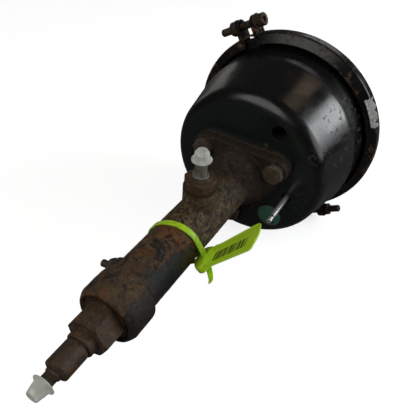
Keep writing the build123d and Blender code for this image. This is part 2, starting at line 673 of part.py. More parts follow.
# ---- Hydraulic outlet ----
def end_plug():
    bore_r = ADAPTER_THREAD_R + PUSH_GAP
    plug = hexagon(PLUG_AF, plug_hex_start, plug_hex_end)
    plug += turned([(plug_inner_end, 0), (plug_inner_end, PLUG_THREAD_R - THREAD_CHAMFER),
                    (plug_inner_end + THREAD_CHAMFER, PLUG_THREAD_R),
                    (plug_hex_start, PLUG_THREAD_R), (plug_hex_start, 0)])
    plug += turned([(plug_hex_end, 0), (plug_hex_end, PLUG_NECK_R), (plug_end, PLUG_NECK_R),
                    (plug_end, 0)], [0, 0, HEAD_EDGE_R, 0])
    plug -= rod(STUB_BORE_R, plug_inner_end - 1, plug_end + 1)
    return plug - rod(bore_r, plug_end - ADAPTER_THREAD_LENGTH - 1, plug_end + 1)


def plug_seal():
    start = plug_hex_start - PLUG_SEAL_T
    return tube(PLUG_THREAD_R + PUSH_GAP, PLUG_SEAL_R, start, plug_hex_start)


def adapter_seal():
    return tube(ADAPTER_THREAD_R + PUSH_GAP, ADAPTER_SEAL_R, plug_end, adapter_start)


def outlet_adapter():
    thread_start = adapter_start - ADAPTER_THREAD_LENGTH
    chamfer = ADAPTER_R - ADAPTER_NOSE_R
    body = turned([(adapter_start, 0), (adapter_start, ADAPTER_R),
                   (adapter_end - chamfer / 2, ADAPTER_R), (adapter_end, ADAPTER_NOSE_R),
                   (adapter_end, 0)], [0, HEAD_EDGE_R, HEAD_EDGE_R, 0, 0])
    body += turned([(thread_start, 0), (thread_start, ADAPTER_THREAD_R - THREAD_CHAMFER),
                    (thread_start + THREAD_CHAMFER, ADAPTER_THREAD_R),
                    (adapter_start, ADAPTER_THREAD_R), (adapter_start, 0)])
    body -= rod(STUB_BORE_R, thread_start - 1, adapter_end + 1)
    return body - rod(STUB_TAIL_R + PUSH_GAP, adapter_end - STUB_TAIL - 1, adapter_end + 1)


def outlet_stub():
    start = adapter_end - STUB_TAIL
    land_start = stub_thread_end - CAP_OVERLAP - CAP_LEAD
    body = turned([(start, 0), (start, STUB_TAIL_R), (adapter_end, STUB_TAIL_R),
                   (adapter_end, STUB_SHANK_R), (stub_thread_start, STUB_SHANK_R),
                   (stub_thread_start, STUB_R), (land_start, STUB_R),
                   (land_start, STUB_LAND_R), (stub_thread_end, STUB_LAND_R),
                   (stub_end, STUB_NOSE_R), (stub_end, 0)])
    return body - rod(STUB_BORE_R, start - 1, stub_end + 1)


def push_on_cap(brim_start, length):
    """Moulded cap with a brim, a straight skirt and a tapered closed end, along X."""
    end = brim_start + length
    shoulder = brim_start + CAP_OVERLAP + CAP_NOSE_GAP
    inner_r = STUB_LAND_R + RUNNING_GAP
    outer_r = inner_r + CAP_WALL
    tip_inner = CAP_TIP_R - CAP_WALL
    return turned([(brim_start, inner_r), (brim_start, CAP_BRIM_R),
                   (brim_start + CAP_BRIM_T, CAP_BRIM_R), (brim_start + CAP_BRIM_T, outer_r),
                   (shoulder, outer_r), (end, CAP_TIP_R), (end, 0), (end - CAP_WALL, 0),
                   (end - CAP_WALL, tip_inner), (shoulder, inner_r)],
                  [0, SMALL_EDGE_R, SMALL_EDGE_R, SMALL_EDGE_R, CAP_BEND_R, CAP_TIP_EDGE_R, 0, 0, 0, 0])


def outlet_cap():
    return push_on_cap(stub_thread_end - CAP_OVERLAP, CAP_LENGTH)


# ---- Feed and bleed fittings ----
def feed_seal_washer():
    return feed_axis * tube(FEED_PORT_R + PUSH_GAP, FEED_BOSS_R, FEED_BOSS_H, feed_adapter_foot)


def feed_adapter():
    hex_top = feed_adapter_foot + FEED_HEX_H
    foot = feed_adapter_foot - FEED_THREAD_LENGTH
    body = hexagon(FEED_HEX_AF, feed_adapter_foot, hex_top)
    body += rod(FEED_SHOULDER_R, hex_top, feed_adapter_top)
    body += rod(FEED_PORT_R, foot, feed_adapter_foot)
    body -= rod(FEED_DRILL_R, foot - 1, feed_adapter_top + 1)
    socket = feed_adapter_top - FEED_STUB_TAIL
    body -= rod(STUB_TAIL_R + PUSH_GAP, socket - 1, feed_adapter_top + 1)
    return feed_axis * (Rot(FEED_TURN_DEG, 0, 0) * body)


def feed_stub():
    start = feed_adapter_top - FEED_STUB_TAIL
    ring_top = feed_adapter_top + FEED_STUB_RING_H
    land_start = feed_land_top - CAP_OVERLAP - CAP_LEAD
    body = turned([(start, 0), (start, STUB_TAIL_R), (feed_adapter_top, STUB_TAIL_R),
                   (feed_adapter_top, FEED_STUB_RING_R), (ring_top, FEED_STUB_RING_R),
                   (ring_top, FEED_STUB_R), (land_start, FEED_STUB_R),
                   (land_start, STUB_LAND_R), (feed_land_top, STUB_LAND_R),
                   (feed_stub_top, FEED_STUB_NOSE_R), (feed_stub_top, 0)],
                  [0, 0, 0, SMALL_EDGE_R, SMALL_EDGE_R, 0, 0, 0, 0, SMALL_EDGE_R, 0])
    return feed_axis * (body - rod(STUB_BORE_R, start - 1, feed_stub_top + 1))


def feed_cap():
    return feed_axis * push_on_cap(feed_land_top - CAP_OVERLAP, FEED_CAP_LENGTH)


def bleed_nipple():
    hex_top = BLEED_BOSS_H + BLEED_HEX_H
    foot = BLEED_BOSS_H - BLEED_THREAD_LENGTH
    tip = hex_top + BLEED_TUBE_H
    body = hexagon(BLEED_HEX_AF, BLEED_BOSS_H, hex_top)
    body += rod(BLEED_PORT_R, foot, BLEED_BOSS_H)
    body += turned([(hex_top, 0), (hex_top, BLEED_TUBE_R + BLEED_SHOULDER_W),
                    (hex_top + BLEED_SHOULDER_H, BLEED_TUBE_R), (tip, BLEED_TUBE_R), (tip, 0)],
                   [0, 0, 0, SMALL_EDGE_R, 0])
    body -= rod(BLEED_TUBE_BORE_R, foot - 1, tip + 1)
    return bleed_axis * body


# ---- Stroke indicator and vent port ----
def indicator_guide():
    flange_x = front_face - WALL
    end = flange_x - INDICATOR_GUIDE_LENGTH
    mouth = front_face - INDICATOR_MOUTH_DEPTH
    body = turned([(end, INDICATOR_R + RUNNING_GAP), (end, INDICATOR_GUIDE_R),
                   (flange_x - INDICATOR_FLANGE_T, INDICATOR_GUIDE_R),
                   (flange_x - INDICATOR_FLANGE_T, INDICATOR_FLANGE_R),
                   (flange_x, INDICATOR_FLANGE_R), (flange_x, INDICATOR_GUIDE_R),
                   (front_face, INDICATOR_GUIDE_R), (front_face, INDICATOR_MOUTH_R),
                   (mouth, INDICATOR_MOUTH_R), (mouth, INDICATOR_R + RUNNING_GAP)])
    return indicator_axis * body


def indicator_pin():
    tip = front_face + INDICATOR_OUT
    foot = plate_front + STROKE + INDICATOR_MARGIN + INDICATOR_TRAVEL
    ring = tip - INDICATOR_RING_X
    groove_r = INDICATOR_R - INDICATOR_RING_DEPTH
    clip = front_face - WALL - INDICATOR_GUIDE_LENGTH - INDICATOR_CLIP_T
    body = turned([(foot, 0), (foot, INDICATOR_R), (clip, INDICATOR_R), (clip, groove_r),
                   (clip + INDICATOR_CLIP_T, groove_r), (clip + INDICATOR_CLIP_T, INDICATOR_R),
                   (ring - INDICATOR_RING_W, INDICATOR_R), (ring - INDICATOR_RING_W, groove_r),
                   (ring, groove_r), (ring, INDICATOR_R), (tip, INDICATOR_R), (tip, 0)],
                  [0, SMALL_EDGE_R, 0, 0, 0, 0, 0, 0, 0, 0, SMALL_EDGE_R, 0])
    body -= rod(INDICATOR_DIMPLE_R, tip - INDICATOR_DIMPLE_DEPTH, tip + 1)
    return indicator_axis * body


def indicator_clip():
    end = front_face - WALL - INDICATOR_GUIDE_LENGTH
    inner = INDICATOR_R - INDICATOR_RING_DEPTH + PUSH_GAP
    ring = tube(inner, INDICATOR_CLIP_R, end - INDICATOR_CLIP_T, end)
    ring -= Pos(end, INDICATOR_CLIP_R, 0) * Box(4 * INDICATOR_CLIP_T, 2 * INDICATOR_CLIP_R, inner)
    return indicator_axis * ring


def vent_port_boss():
    end = front_face - WALL
    boss = tube(PORT_R, PORT_R + VENT_BOSS_WALL, end - VENT_BOSS_LENGTH, end)
    return vent_axis * boss - front_housing()


# ---- Seal with its tag ----
def seal_tag():
    """Pull-tight seal: a strap loop round the cylinder, a lock head and a flag in one moulding."""
    loop_r = TUBE_R + SEAL_GAP
    half_w = SEAL_STRAP_W / 2
    knot = Pos(TAG_Y, TAG_Z)
    round_knot = knot * Circle(SEAL_KNOT_R + SEAL_STRAP_T)
    outer = make_hull((Circle(loop_r + SEAL_STRAP_T) + round_knot).edges())
    inner = make_hull((Circle(loop_r) + knot * Circle(SEAL_KNOT_R)).edges())
    strap = Plane.YZ.offset(seal_x - half_w) * extrude(outer - inner, SEAL_STRAP_W)

    face = Plane((seal_x, TAG_Y, TAG_Z), x_dir=TAG_RIGHT, z_dir=TAG_NORMAL)
    head_x = -TAG_HEAD_LENGTH / 2
    flag = Pos(head_x + TAG_LENGTH / 2, 0) * Rectangle(TAG_LENGTH, TAG_W)
    flag = fillet(flag.vertices(), TAG_TIP_R)
    head = fillet(Rectangle(TAG_HEAD_LENGTH, TAG_W - TAG_HEAD_INSET).vertices(), TAG_TIP_R)
    tag = extrude(flag, -TAG_T) + extrude(head, -TAG_HEAD_T)
    tail = Pos(0, 0, -TAG_HEAD_T - TAG_TAIL / 2) * Box(SEAL_STRAP_T, SEAL_STRAP_W, TAG_TAIL)
    return (strap + face * (tag + tail)) - rod(loop_r, seal_x - TAG_W, seal_x + TAG_W)


first_half = Rot(CLAMP_SPLIT_DEG, 0, 0) * clamp_half()
pieces = {
    "rear_cover": rear_cover(),
    "air_inlet_boss": air_inlet_boss(),
    "mounting_studs": mounting_studs(),
    "front_housing": front_housing(),
    "diaphragm": diaphragm(),
    "pressure_plate": pressure_plate(),
    "push_rod": push_rod(),
    "return_spring": return_spring(),
    "clamp_half_left": first_half,
    "clamp_half_right": Rot(180, 0, 0) * first_half,
    "clamp_bolts": clamp_bolts(),
    "clamp_nuts": clamp_nuts(),
    "clamp_washers": clamp_washers(),
    "reinforcing_pad": reinforcing_pad(),
    "flange_gasket": flange_gasket(),
    "backing_plate": backing_plate(),
    "flange_bolts": flange_bolts(),
    "hydraulic_cylinder": hydraulic_cylinder(),
    "rod_guide": rod_guide(),
    "guide_circlip": guide_circlip(),
    "hydraulic_piston": hydraulic_piston(),
    "secondary_seal": secondary_seal(),
    "primary_cup": primary_cup(),
    "spring_seat": spring_seat(),
    "piston_spring": piston_spring(),
    "end_plug": end_plug(),
    "plug_seal": plug_seal(),
    "adapter_seal": adapter_seal(),
    "outlet_adapter": outlet_adapter(),
    "outlet_stub": outlet_stub(),
    "outlet_cap": outlet_cap(),
    "feed_seal_washer": feed_seal_washer(),
    "feed_adapter": feed_adapter(),
    "feed_stub": feed_stub(),
    "feed_cap": feed_cap(),
    "bleed_nipple": bleed_nipple(),
    "indicator_guide": indicator_guide(),
    "indicator_pin": indicator_pin(),
    "indicator_clip": indicator_clip(),
    "vent_port_boss": vent_port_boss(),
    "seal_tag": seal_tag(),
}

os.makedirs("parts", exist_ok=True)
for name, shape in pieces.items():
    solids = shape if isinstance(shape, list) else [shape]
    whole = Compound(children=[Compound(solid.solids()) for solid in solids])
    export_step(whole, f"parts/{name}.step")
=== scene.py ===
"""Air over hydraulic brake chamber: finishes, threads, seal and small trim round its CAD frame."""

import json
import math
import random

import bpy
from bpy.props import FloatProperty, FloatVectorProperty, IntProperty, PointerProperty
from mathutils import Matrix, Vector, noise
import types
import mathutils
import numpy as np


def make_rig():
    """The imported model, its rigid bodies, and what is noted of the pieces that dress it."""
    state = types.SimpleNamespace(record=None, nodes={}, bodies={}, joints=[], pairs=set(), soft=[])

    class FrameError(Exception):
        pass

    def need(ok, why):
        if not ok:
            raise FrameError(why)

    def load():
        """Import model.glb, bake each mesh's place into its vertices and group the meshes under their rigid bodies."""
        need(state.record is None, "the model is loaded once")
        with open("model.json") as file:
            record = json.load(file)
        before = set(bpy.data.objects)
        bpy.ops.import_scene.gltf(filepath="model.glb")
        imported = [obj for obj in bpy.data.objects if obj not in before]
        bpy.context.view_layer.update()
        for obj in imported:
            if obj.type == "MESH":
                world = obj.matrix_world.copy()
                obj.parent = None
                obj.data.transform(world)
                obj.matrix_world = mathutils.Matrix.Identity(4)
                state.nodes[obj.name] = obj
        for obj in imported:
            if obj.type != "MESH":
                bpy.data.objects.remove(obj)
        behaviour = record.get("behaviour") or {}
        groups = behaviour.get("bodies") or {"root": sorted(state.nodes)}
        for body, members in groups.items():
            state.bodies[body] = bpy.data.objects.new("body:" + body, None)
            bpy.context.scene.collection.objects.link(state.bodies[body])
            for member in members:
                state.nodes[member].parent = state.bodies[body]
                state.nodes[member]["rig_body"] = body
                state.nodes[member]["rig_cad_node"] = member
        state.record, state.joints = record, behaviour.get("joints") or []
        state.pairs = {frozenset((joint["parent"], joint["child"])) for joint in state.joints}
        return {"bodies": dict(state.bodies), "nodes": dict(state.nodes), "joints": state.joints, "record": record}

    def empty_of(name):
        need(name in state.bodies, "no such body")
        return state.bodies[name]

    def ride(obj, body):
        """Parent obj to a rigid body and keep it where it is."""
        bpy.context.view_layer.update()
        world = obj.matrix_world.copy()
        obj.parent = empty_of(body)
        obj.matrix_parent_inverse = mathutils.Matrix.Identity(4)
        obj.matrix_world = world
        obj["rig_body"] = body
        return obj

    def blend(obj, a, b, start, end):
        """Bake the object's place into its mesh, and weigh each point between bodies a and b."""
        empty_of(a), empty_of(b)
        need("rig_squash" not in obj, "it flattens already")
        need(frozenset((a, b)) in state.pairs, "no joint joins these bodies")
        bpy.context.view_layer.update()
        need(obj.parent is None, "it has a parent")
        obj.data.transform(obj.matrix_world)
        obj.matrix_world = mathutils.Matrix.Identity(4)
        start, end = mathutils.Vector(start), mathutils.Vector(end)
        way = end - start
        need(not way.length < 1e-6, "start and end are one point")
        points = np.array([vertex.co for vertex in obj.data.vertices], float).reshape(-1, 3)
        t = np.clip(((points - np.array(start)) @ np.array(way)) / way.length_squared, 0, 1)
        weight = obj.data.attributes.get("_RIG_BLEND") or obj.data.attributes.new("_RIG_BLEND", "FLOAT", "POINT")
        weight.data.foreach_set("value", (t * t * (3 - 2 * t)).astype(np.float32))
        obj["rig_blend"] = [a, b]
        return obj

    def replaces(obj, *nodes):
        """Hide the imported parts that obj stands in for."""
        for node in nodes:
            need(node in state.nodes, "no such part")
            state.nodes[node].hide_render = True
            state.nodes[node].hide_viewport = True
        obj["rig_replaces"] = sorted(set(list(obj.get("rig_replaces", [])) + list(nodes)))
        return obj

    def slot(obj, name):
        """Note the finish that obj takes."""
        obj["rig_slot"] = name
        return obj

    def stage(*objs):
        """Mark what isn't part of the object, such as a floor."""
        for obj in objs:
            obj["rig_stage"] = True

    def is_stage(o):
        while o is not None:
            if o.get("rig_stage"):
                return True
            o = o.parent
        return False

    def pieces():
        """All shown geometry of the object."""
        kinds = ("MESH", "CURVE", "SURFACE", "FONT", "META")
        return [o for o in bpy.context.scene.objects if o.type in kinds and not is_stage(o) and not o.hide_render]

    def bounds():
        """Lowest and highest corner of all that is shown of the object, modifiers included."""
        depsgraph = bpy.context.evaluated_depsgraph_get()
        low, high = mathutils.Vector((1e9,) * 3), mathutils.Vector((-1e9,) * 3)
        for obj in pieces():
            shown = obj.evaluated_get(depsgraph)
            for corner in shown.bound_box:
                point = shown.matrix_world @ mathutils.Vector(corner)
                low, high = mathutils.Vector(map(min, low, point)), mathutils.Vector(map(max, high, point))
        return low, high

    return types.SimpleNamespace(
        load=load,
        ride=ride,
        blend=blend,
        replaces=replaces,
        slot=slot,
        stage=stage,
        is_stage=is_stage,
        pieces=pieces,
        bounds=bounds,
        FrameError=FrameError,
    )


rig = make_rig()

bl_info = {
    "name": "Brake Chamber Dressing",
    "version": (1, 0, 0),
    "blender": (4, 5, 0),
    "location": "View3D > Sidebar > Brake Chamber",
    "description": "Finishes and small parts for an air over hydraulic brake chamber",
    "category": "Object",
}

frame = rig.load()
cad_box = [list(corner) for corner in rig.bounds()]

# X runs along the cylinder. Shapes are worked out in millimetres and built in metres.
MM = 0.001
TINY = 1e-6
TO_METRES = Matrix.Scale(MM, 4)
FRONT_FACE_X = 146.0
CLAMP_X = 46.5
EAR_DEG = 121.0
WHITE = (1.0, 1.0, 1.0)


# ---- Shader trees ----
def rgba(colour):
    """A plain colour with its alpha; sockets pass through."""
    return (*colour, 1.0) if isinstance(colour, tuple) else colour


class Tree:
    """A shader node tree under construction; its grain lies in the coordinates of its vector."""

    vector = None

    def __init__(self, tree):
        self.tree = tree

    def fill(self, node, inputs):
        """Inputs of a node are linked if they are sockets and set if they are values."""
        for name, value in inputs.items():
            if isinstance(value, bpy.types.NodeSocket):
                self.tree.links.new(value, node.inputs[name])
            else:
                node.inputs[name].default_value = value

    def add(self, kind, inputs=None, **settings):
        """New node with its settings and inputs."""
        node = self.tree.nodes.new(kind if kind.startswith("NodeGroup") else "ShaderNode" + kind)
        for name, value in settings.items():
            setattr(node, name, value)
        self.fill(node, inputs or {})
        return node

    def math(self, operation, first, second, clamp=False):
        node = self.add("Math", {0: first, 1: second}, operation=operation, use_clamp=clamp)
        return node.outputs[0]

    def times(self, first, second):
        return self.math("MULTIPLY", first, second)

    def total(self, first, *terms, clamp=False):
        """first plus value times weight for each term; only the last sum is clamped."""
        for number, (value, weight) in enumerate(terms, 1):
            last = clamp and number == len(terms)
            first = self.math("ADD", first, self.times(value, weight), last)
        return first

    def span(self, value, low, high, to_low=0.0, to_high=1.0):
        """value from low..high to to_low..to_high, clamped."""
        inputs = {"Value": value, "From Min": low, "From Max": high,
                  "To Min": to_low, "To Max": to_high}
        return self.add("MapRange", inputs).outputs["Result"]

    def mix(self, factor, first, second):
        inputs = {0: factor, 6: rgba(first), 7: rgba(second)}
        return self.add("Mix", inputs, data_type="RGBA").outputs[2]

    def coats(self, colour, *coats):
        """A colour under coats of (mask, colour), laid on in turn."""
        for mask, coat in coats:
            colour = self.mix(mask, colour, coat)
        return colour

    def grain(self, scale, detail=5.0, roughness=0.6, distortion=0.0):
        """Noise between 0 and 1."""
        inputs = {"Vector": self.vector, "Scale": scale, "Detail": detail, "Roughness": roughness,
                  "Distortion": distortion}
        return self.add("TexNoise", inputs).outputs["Fac"]

    def ramp(self, factor, *stops):
        """Colour ramp from (position, colour) stops."""
        node = self.add("ValToRGB", {"Fac": factor})
        elements = node.color_ramp.elements
        while len(elements) < len(stops):
            elements.new(0.5)
        for element, (position, colour) in zip(elements, stops):
            element.position = position
            element.color = rgba(colour)
        return node.outputs["Color"]

    def seen(self):
        """1 for rays from the camera or through clear plastic, 0 for all others."""
        path = self.add("LightPath").outputs
        return self.math("MAXIMUM", path["Is Camera Ray"], path["Is Transmission Ray"])


class Group(Tree):
    """A shared node group under construction; it takes Vector and float inputs."""

    def __init__(self, name, outputs, **inputs):
        super().__init__(bpy.data.node_groups.new(name, "ShaderNodeTree"))
        sockets = self.tree.interface
        sockets.new_socket("Vector", in_out="INPUT", socket_type="NodeSocketVector")
        for socket, default in inputs.items():
            made = sockets.new_socket(socket, in_out="INPUT", socket_type="NodeSocketFloat")
            made.default_value = default
        for socket, kind in outputs.items():
            sockets.new_socket(socket, in_out="OUTPUT", socket_type="NodeSocket" + kind)
        self.given = self.add("NodeGroupInput").outputs
        self.vector = self.given["Vector"]
        self.out = self.add("NodeGroupOutput")

    def give(self, **values):
        self.fill(self.out, values)


class Finish(Tree):
    """A material under construction round its Principled shader, in object coordinates."""

    def __init__(self, name):
        material = bpy.data.materials.new(name)
        material.use_nodes = True
        super().__init__(material.node_tree)
        self.shader = self.tree.nodes["Principled BSDF"]
        self.vector = self.add("TexCoord").outputs["Object"]

    def axis(self, name):
        return self.add("SeparateXYZ", {0: self.vector}).outputs[name]

    def shared(self, name, **inputs):
        """Outputs of a shared group."""
        inputs["Vector"] = self.vector
        return self.add("Group", inputs, node_tree=bpy.data.node_groups[name]).outputs

    def bump(self, height, strength, distance_mm, edges=None):
        inputs = {"Height": height, "Strength": strength, "Distance": distance_mm * MM}
        if edges:
            inputs["Normal"] = edges["Normal"]
        return self.add("Bump", inputs).outputs["Normal"]

    def give(self, **values):
        """Links or sets the shader's inputs; an underscore stands for a space."""
        self.fill(self.shader, {name.replace("_", " "): value for name, value in values.items()})


# ---- Shared effects ----
def make_edge_wear():
    """Worn edges: Mask is 1 on sharp edges, broken up by noise; Normal rounds the edge."""
    group = Group("Edge wear", {"Mask": "Float", "Normal": "Vector"}, Width=0.6 * MM, Breakup=300.0)
    bevel = group.add("Bevel", {"Radius": group.given["Width"]}, samples=4).outputs["Normal"]
    flat = group.add("NewGeometry").outputs["Normal"]
    facing = group.add("VectorMath", {0: bevel, 1: flat}, operation="DOT_PRODUCT")
    edge = group.span(group.math("SUBTRACT", 1.0, facing.outputs["Value"]), 0.004, 0.10)
    patches = group.span(group.grain(group.given["Breakup"], 4.0), 0.38, 0.62)
    group.give(Mask=group.times(edge, patches), Normal=bevel)


def make_rust():
    """Rust in three sizes of patch: brown scale, orange bloom and pale ochre specks."""
    outputs = {"Color": "Color", "Mask": "Float", "Height": "Float", "Roughness": "Float"}
    group = Group("Rust", outputs, Scale=60.0, Spread=0.5, Warmth=0.5)
    scale = group.given["Scale"]
    broad = group.grain(scale, 8.0, 0.62, 0.4)
    speck = group.grain(group.times(scale, 7.0), 6.0, 0.7)
    grain = group.grain(group.times(scale, 24.0), 3.0, 0.6)
    brown = group.ramp(speck, (0.30, (0.016, 0.010, 0.007)), (0.46, (0.044, 0.026, 0.016)),
                       (0.58, (0.085, 0.052, 0.030)), (0.72, (0.15, 0.098, 0.055)))
    orange = group.ramp(speck, (0.34, (0.060, 0.022, 0.008)), (0.52, (0.19, 0.068, 0.016)),
                        (0.70, (0.34, 0.155, 0.045)))
    bloom = group.grain(group.times(scale, 1.7), 7.0, 0.66, 0.8)
    threshold = group.span(group.given["Warmth"], 0.0, 1.0, 0.70, 0.42)
    warm = group.span(group.math("SUBTRACT", bloom, threshold), -0.02, 0.05)
    pale = group.span(grain, 0.62, 0.72, 0.0, 0.65)
    colour = group.coats(brown, (warm, orange), (pale, (0.24, 0.17, 0.095)))
    cut = group.span(group.given["Spread"], 0.0, 1.0, 0.75, 0.25)
    lumpy = group.total(group.times(broad, 0.75), (speck, 0.25))
    mask = group.span(group.math("SUBTRACT", lumpy, cut), -0.012, 0.02)
    height = group.total(group.times(speck, 0.7), (grain, 0.3))
    group.give(Color=colour, Mask=mask, Height=height,
               Roughness=group.span(speck, 0.3, 0.7, 0.55, 0.85))


def make_scratches():
    """Short cracks along bent cell borders, gathered in patches."""
    group = Group("Scratches", {"Mask": "Float"}, Scale=30.0, Amount=0.5)
    bent = group.add("TexNoise", {"Vector": group.vector, "Scale": 55.0, "Detail": 3.0})
    offset = group.add("VectorMath", {0: bent.outputs["Color"], "Scale": 0.035}, operation="SCALE")
    moved = group.add("VectorMath", {0: group.vector, 1: offset.outputs[0]}, operation="ADD")
    cells = group.add("TexVoronoi", {"Vector": moved.outputs[0], "Scale": group.given["Scale"]},
                      feature="DISTANCE_TO_EDGE")
    border = group.span(cells.outputs["Distance"], 0.0, 0.060, 1.0, 0.0)
    crack = group.times(border, group.span(group.grain(150.0, 3.0, 0.6), 0.50, 0.56))
    cut = group.span(group.given["Amount"], 0.0, 1.0, 0.75, 0.42)
    patch = group.span(group.math("SUBTRACT", group.grain(34.0, 4.0, 0.6), cut), 0.0, 0.05)
    group.give(Mask=group.times(crack, patch))


def make_dust():
    """Dust that settles on surfaces facing up, thicker in some places."""
    group = Group("Dust", {"Mask": "Float"}, Amount=0.5)
    normal = group.add("SeparateXYZ", {0: group.add("NewGeometry").outputs["Normal"]})
    up = group.span(normal.outputs["Z"], -0.2, 1.0)
    cloud = group.span(group.grain(42.0, 7.0, 0.65, 0.5), 0.35, 0.75)
    group.give(Mask=group.times(group.times(up, cloud), group.given["Amount"]))


# ---- Finishes ----
# The first colour is painted sheen, a lighter and bluer black for the front face.
FACE_SHEEN = (0.0085, 0.0130, 0.0125)
CRACK_GREY = (0.06, 0.055, 0.05)
DUST_BROWN = (0.115, 0.098, 0.082)
STAIN_BROWN = (0.050, 0.034, 0.020)


def enamel(name, base, gloss, rusty, cracked, dusty, edge_width, shine):
    """Black enamel over pressed steel, with smudges, cracks, dust and rusty edges, and a painted sheen that makes the
    front face lighter and bluer.
    """
    made = Finish(name)
    cracked_side = made.span(made.axis("Y"), 40 * MM, 58 * MM, 0.0, cracked)
    edges = made.shared("Edge wear", Width=edge_width * MM, Breakup=260.0)
    rust = made.shared("Rust", Scale=70.0, Spread=rusty, Warmth=0.35)
    cracks = made.shared("Scratches", Scale=70.0, Amount=cracked_side)["Mask"]
    dust = made.shared("Dust", Amount=dusty)["Mask"]
    smudge = made.grain(22.0, 6.0, 0.62, 1.2)
    fine = made.grain(900.0, 3.0, 0.6)
    worn = made.total(rust["Mask"], (edges["Mask"], 0.8), clamp=True)
    # Painted sheen: the front face is coloured lighter and bluer than the rest of the enamel.
    face = made.span(made.axis("X"), 144.0 * MM, 145.6 * MM)
    colour = made.coats(base, (face, FACE_SHEEN), (made.times(cracks, 0.5), CRACK_GREY),
                        (dust, DUST_BROWN), (worn, rust["Color"]))
    rough = made.total(made.span(smudge, 0.35, 0.70, gloss, gloss + 0.20),
                       (dust, 0.5), (cracks, 0.5), (worn, 0.45), clamp=True)
    height = made.total(made.times(fine, 0.16), (smudge, 0.9), (worn, 0.6), (cracks, -0.7))
    made.give(Base_Color=colour, Roughness=rough, Normal=made.bump(height, 0.25, 0.15, edges),
              Specular_IOR_Level=shine)


# Dark paint on the casting; the same colours also stand for painted shade on its lower side.
SMOOTH_PAINT_AND_SHADE = ((0.35, (0.005, 0.006, 0.007)), (0.58, (0.013, 0.015, 0.017)),
                (0.72, (0.070, 0.078, 0.082)))
OLIVE_RUST = (0.130, 0.102, 0.056)
GOLDEN_RUST = (0.270, 0.195, 0.090)
ORANGE_RUST = (0.190, 0.070, 0.020)
COLLAR_BROWN = (0.070, 0.045, 0.030)
PIT_BLACK = (0.012, 0.008, 0.006)
# Painted shade near the flange.
FLANGE_SHADE = (0.020, 0.013, 0.010)
WORN_EDGE = (0.13, 0.075, 0.040)


def rusty_casting(name):
    """Sand casting: brown rust near the flange, darkened there with painted shade; orange rust and dark paint further
    along, where the paint also darkens the lower side as painted shade.
    """
    made = Finish(name)
    x = made.axis("X")
    past_strap = made.span(x, 245 * MM, 300 * MM)
    orange_zone = made.times(made.span(x, 262 * MM, 270 * MM),
                             made.span(x, 330 * MM, 300 * MM, 0.30, 1.0))
    collar = made.span(x, 312 * MM, 325 * MM)
    # Painted shade: the casting is darkened towards the flange, where it meets the housing.
    flange_shade = made.span(x, 215 * MM, 165 * MM, 0.0, 0.82)
    # The lower side past the strap, towards +Y and down, is painted shade: the dark paint covers it fully there, while
    # elsewhere it lies in random patches that are real paint.
    side = made.math("SUBTRACT", made.axis("Y"), made.times(made.axis("Z"), 0.9))
    shaded_underside = made.span(side, -2 * MM, 13 * MM)

    edges = made.shared("Edge wear", Width=0.9 * MM, Breakup=200.0)
    scale = made.shared("Rust", Scale=58.0, Spread=0.9, Warmth=0.30)
    bloom = made.shared("Rust", Scale=46.0, Spread=0.50, Warmth=0.95)
    mottle = made.grain(230.0, 8.0, 0.72)
    patch = made.grain(40.0, 8.0, 0.66, 0.7)
    reach = made.total(made.times(past_strap, 0.06), (made.times(shaded_underside, past_strap), 0.50))
    painted = made.span(made.math("ADD", patch, reach), 0.60, 0.655)
    painted = made.times(made.times(painted, past_strap), made.span(collar, 0.0, 1.0, 1.0, 0.80))
    olive = made.span(made.grain(90.0, 7.0, 0.7), 0.44, 0.64, 0.0, 0.65)
    cluster = made.span(made.grain(70.0, 6.0, 0.65, 0.6), 0.42, 0.58, 0.25, 1.0)
    golden = made.times(made.span(made.grain(330.0, 6.0, 0.75), 0.48, 0.60, 0.0, 0.95), cluster)
    golden = made.times(golden, made.span(past_strap, 0.0, 1.0, 1.0, 0.50))
    glow = made.span(made.grain(85.0, 8.0, 0.72, 0.5), 0.48, 0.54, 0.0, 0.85)
    holes = made.span(made.grain(190.0, 7.0, 0.75), 0.465, 0.43, 0.0, 0.92)
    colour = made.coats(
        scale["Color"], (made.times(bloom["Mask"], past_strap), bloom["Color"]),
        (olive, OLIVE_RUST), (golden, GOLDEN_RUST), (made.times(glow, orange_zone), ORANGE_RUST),
        (holes, PIT_BLACK), (made.times(collar, 0.45), COLLAR_BROWN),
        (painted, made.ramp(mottle, *SMOOTH_PAINT_AND_SHADE)), (flange_shade, FLANGE_SHADE),
        (made.times(edges["Mask"], 0.5), WORN_EDGE))
    rough = made.mix(painted, scale["Roughness"], made.span(mottle, 0.3, 0.7, 0.30, 0.50))
    pits = made.span(made.grain(520.0, 4.0, 0.7), 0.40, 0.60)
    height = made.total(made.times(scale["Height"], 0.6), (pits, 0.4), (painted, 0.35))
    made.give(Base_Color=colour, Roughness=rough, Normal=made.bump(height, 0.75, 0.55, edges),
              Specular_IOR_Level=0.35)


def rusty_steel(name, dark, light, edge, warmth, metallic, coarse=120.0, edge_width=0.55):
    """Machined steel gone brown, with lighter worn edges and dark hollows."""
    made = Finish(name)
    edges = made.shared("Edge wear", Width=edge_width * MM, Breakup=420.0)
    rust = made.shared("Rust", Scale=coarse, Spread=0.52, Warmth=warmth)
    mottle = made.grain(coarse * 3.2, 8.0, 0.7)
    colour = made.coats(made.ramp(mottle, (0.34, dark), (0.66, light)),
                        (made.times(rust["Mask"], 0.75), rust["Color"]),
                        (made.times(edges["Mask"], 0.7), edge))
    metal = made.times(made.math("SUBTRACT", 1.0, rust["Mask"]), metallic)
    height = made.total(made.times(rust["Height"], 0.6), (mottle, 0.4))
    made.give(Base_Color=colour, Roughness=made.span(mottle, 0.3, 0.7, 0.42, 0.72), Metallic=metal,
              Normal=made.bump(height, 0.6, 0.25, edges))


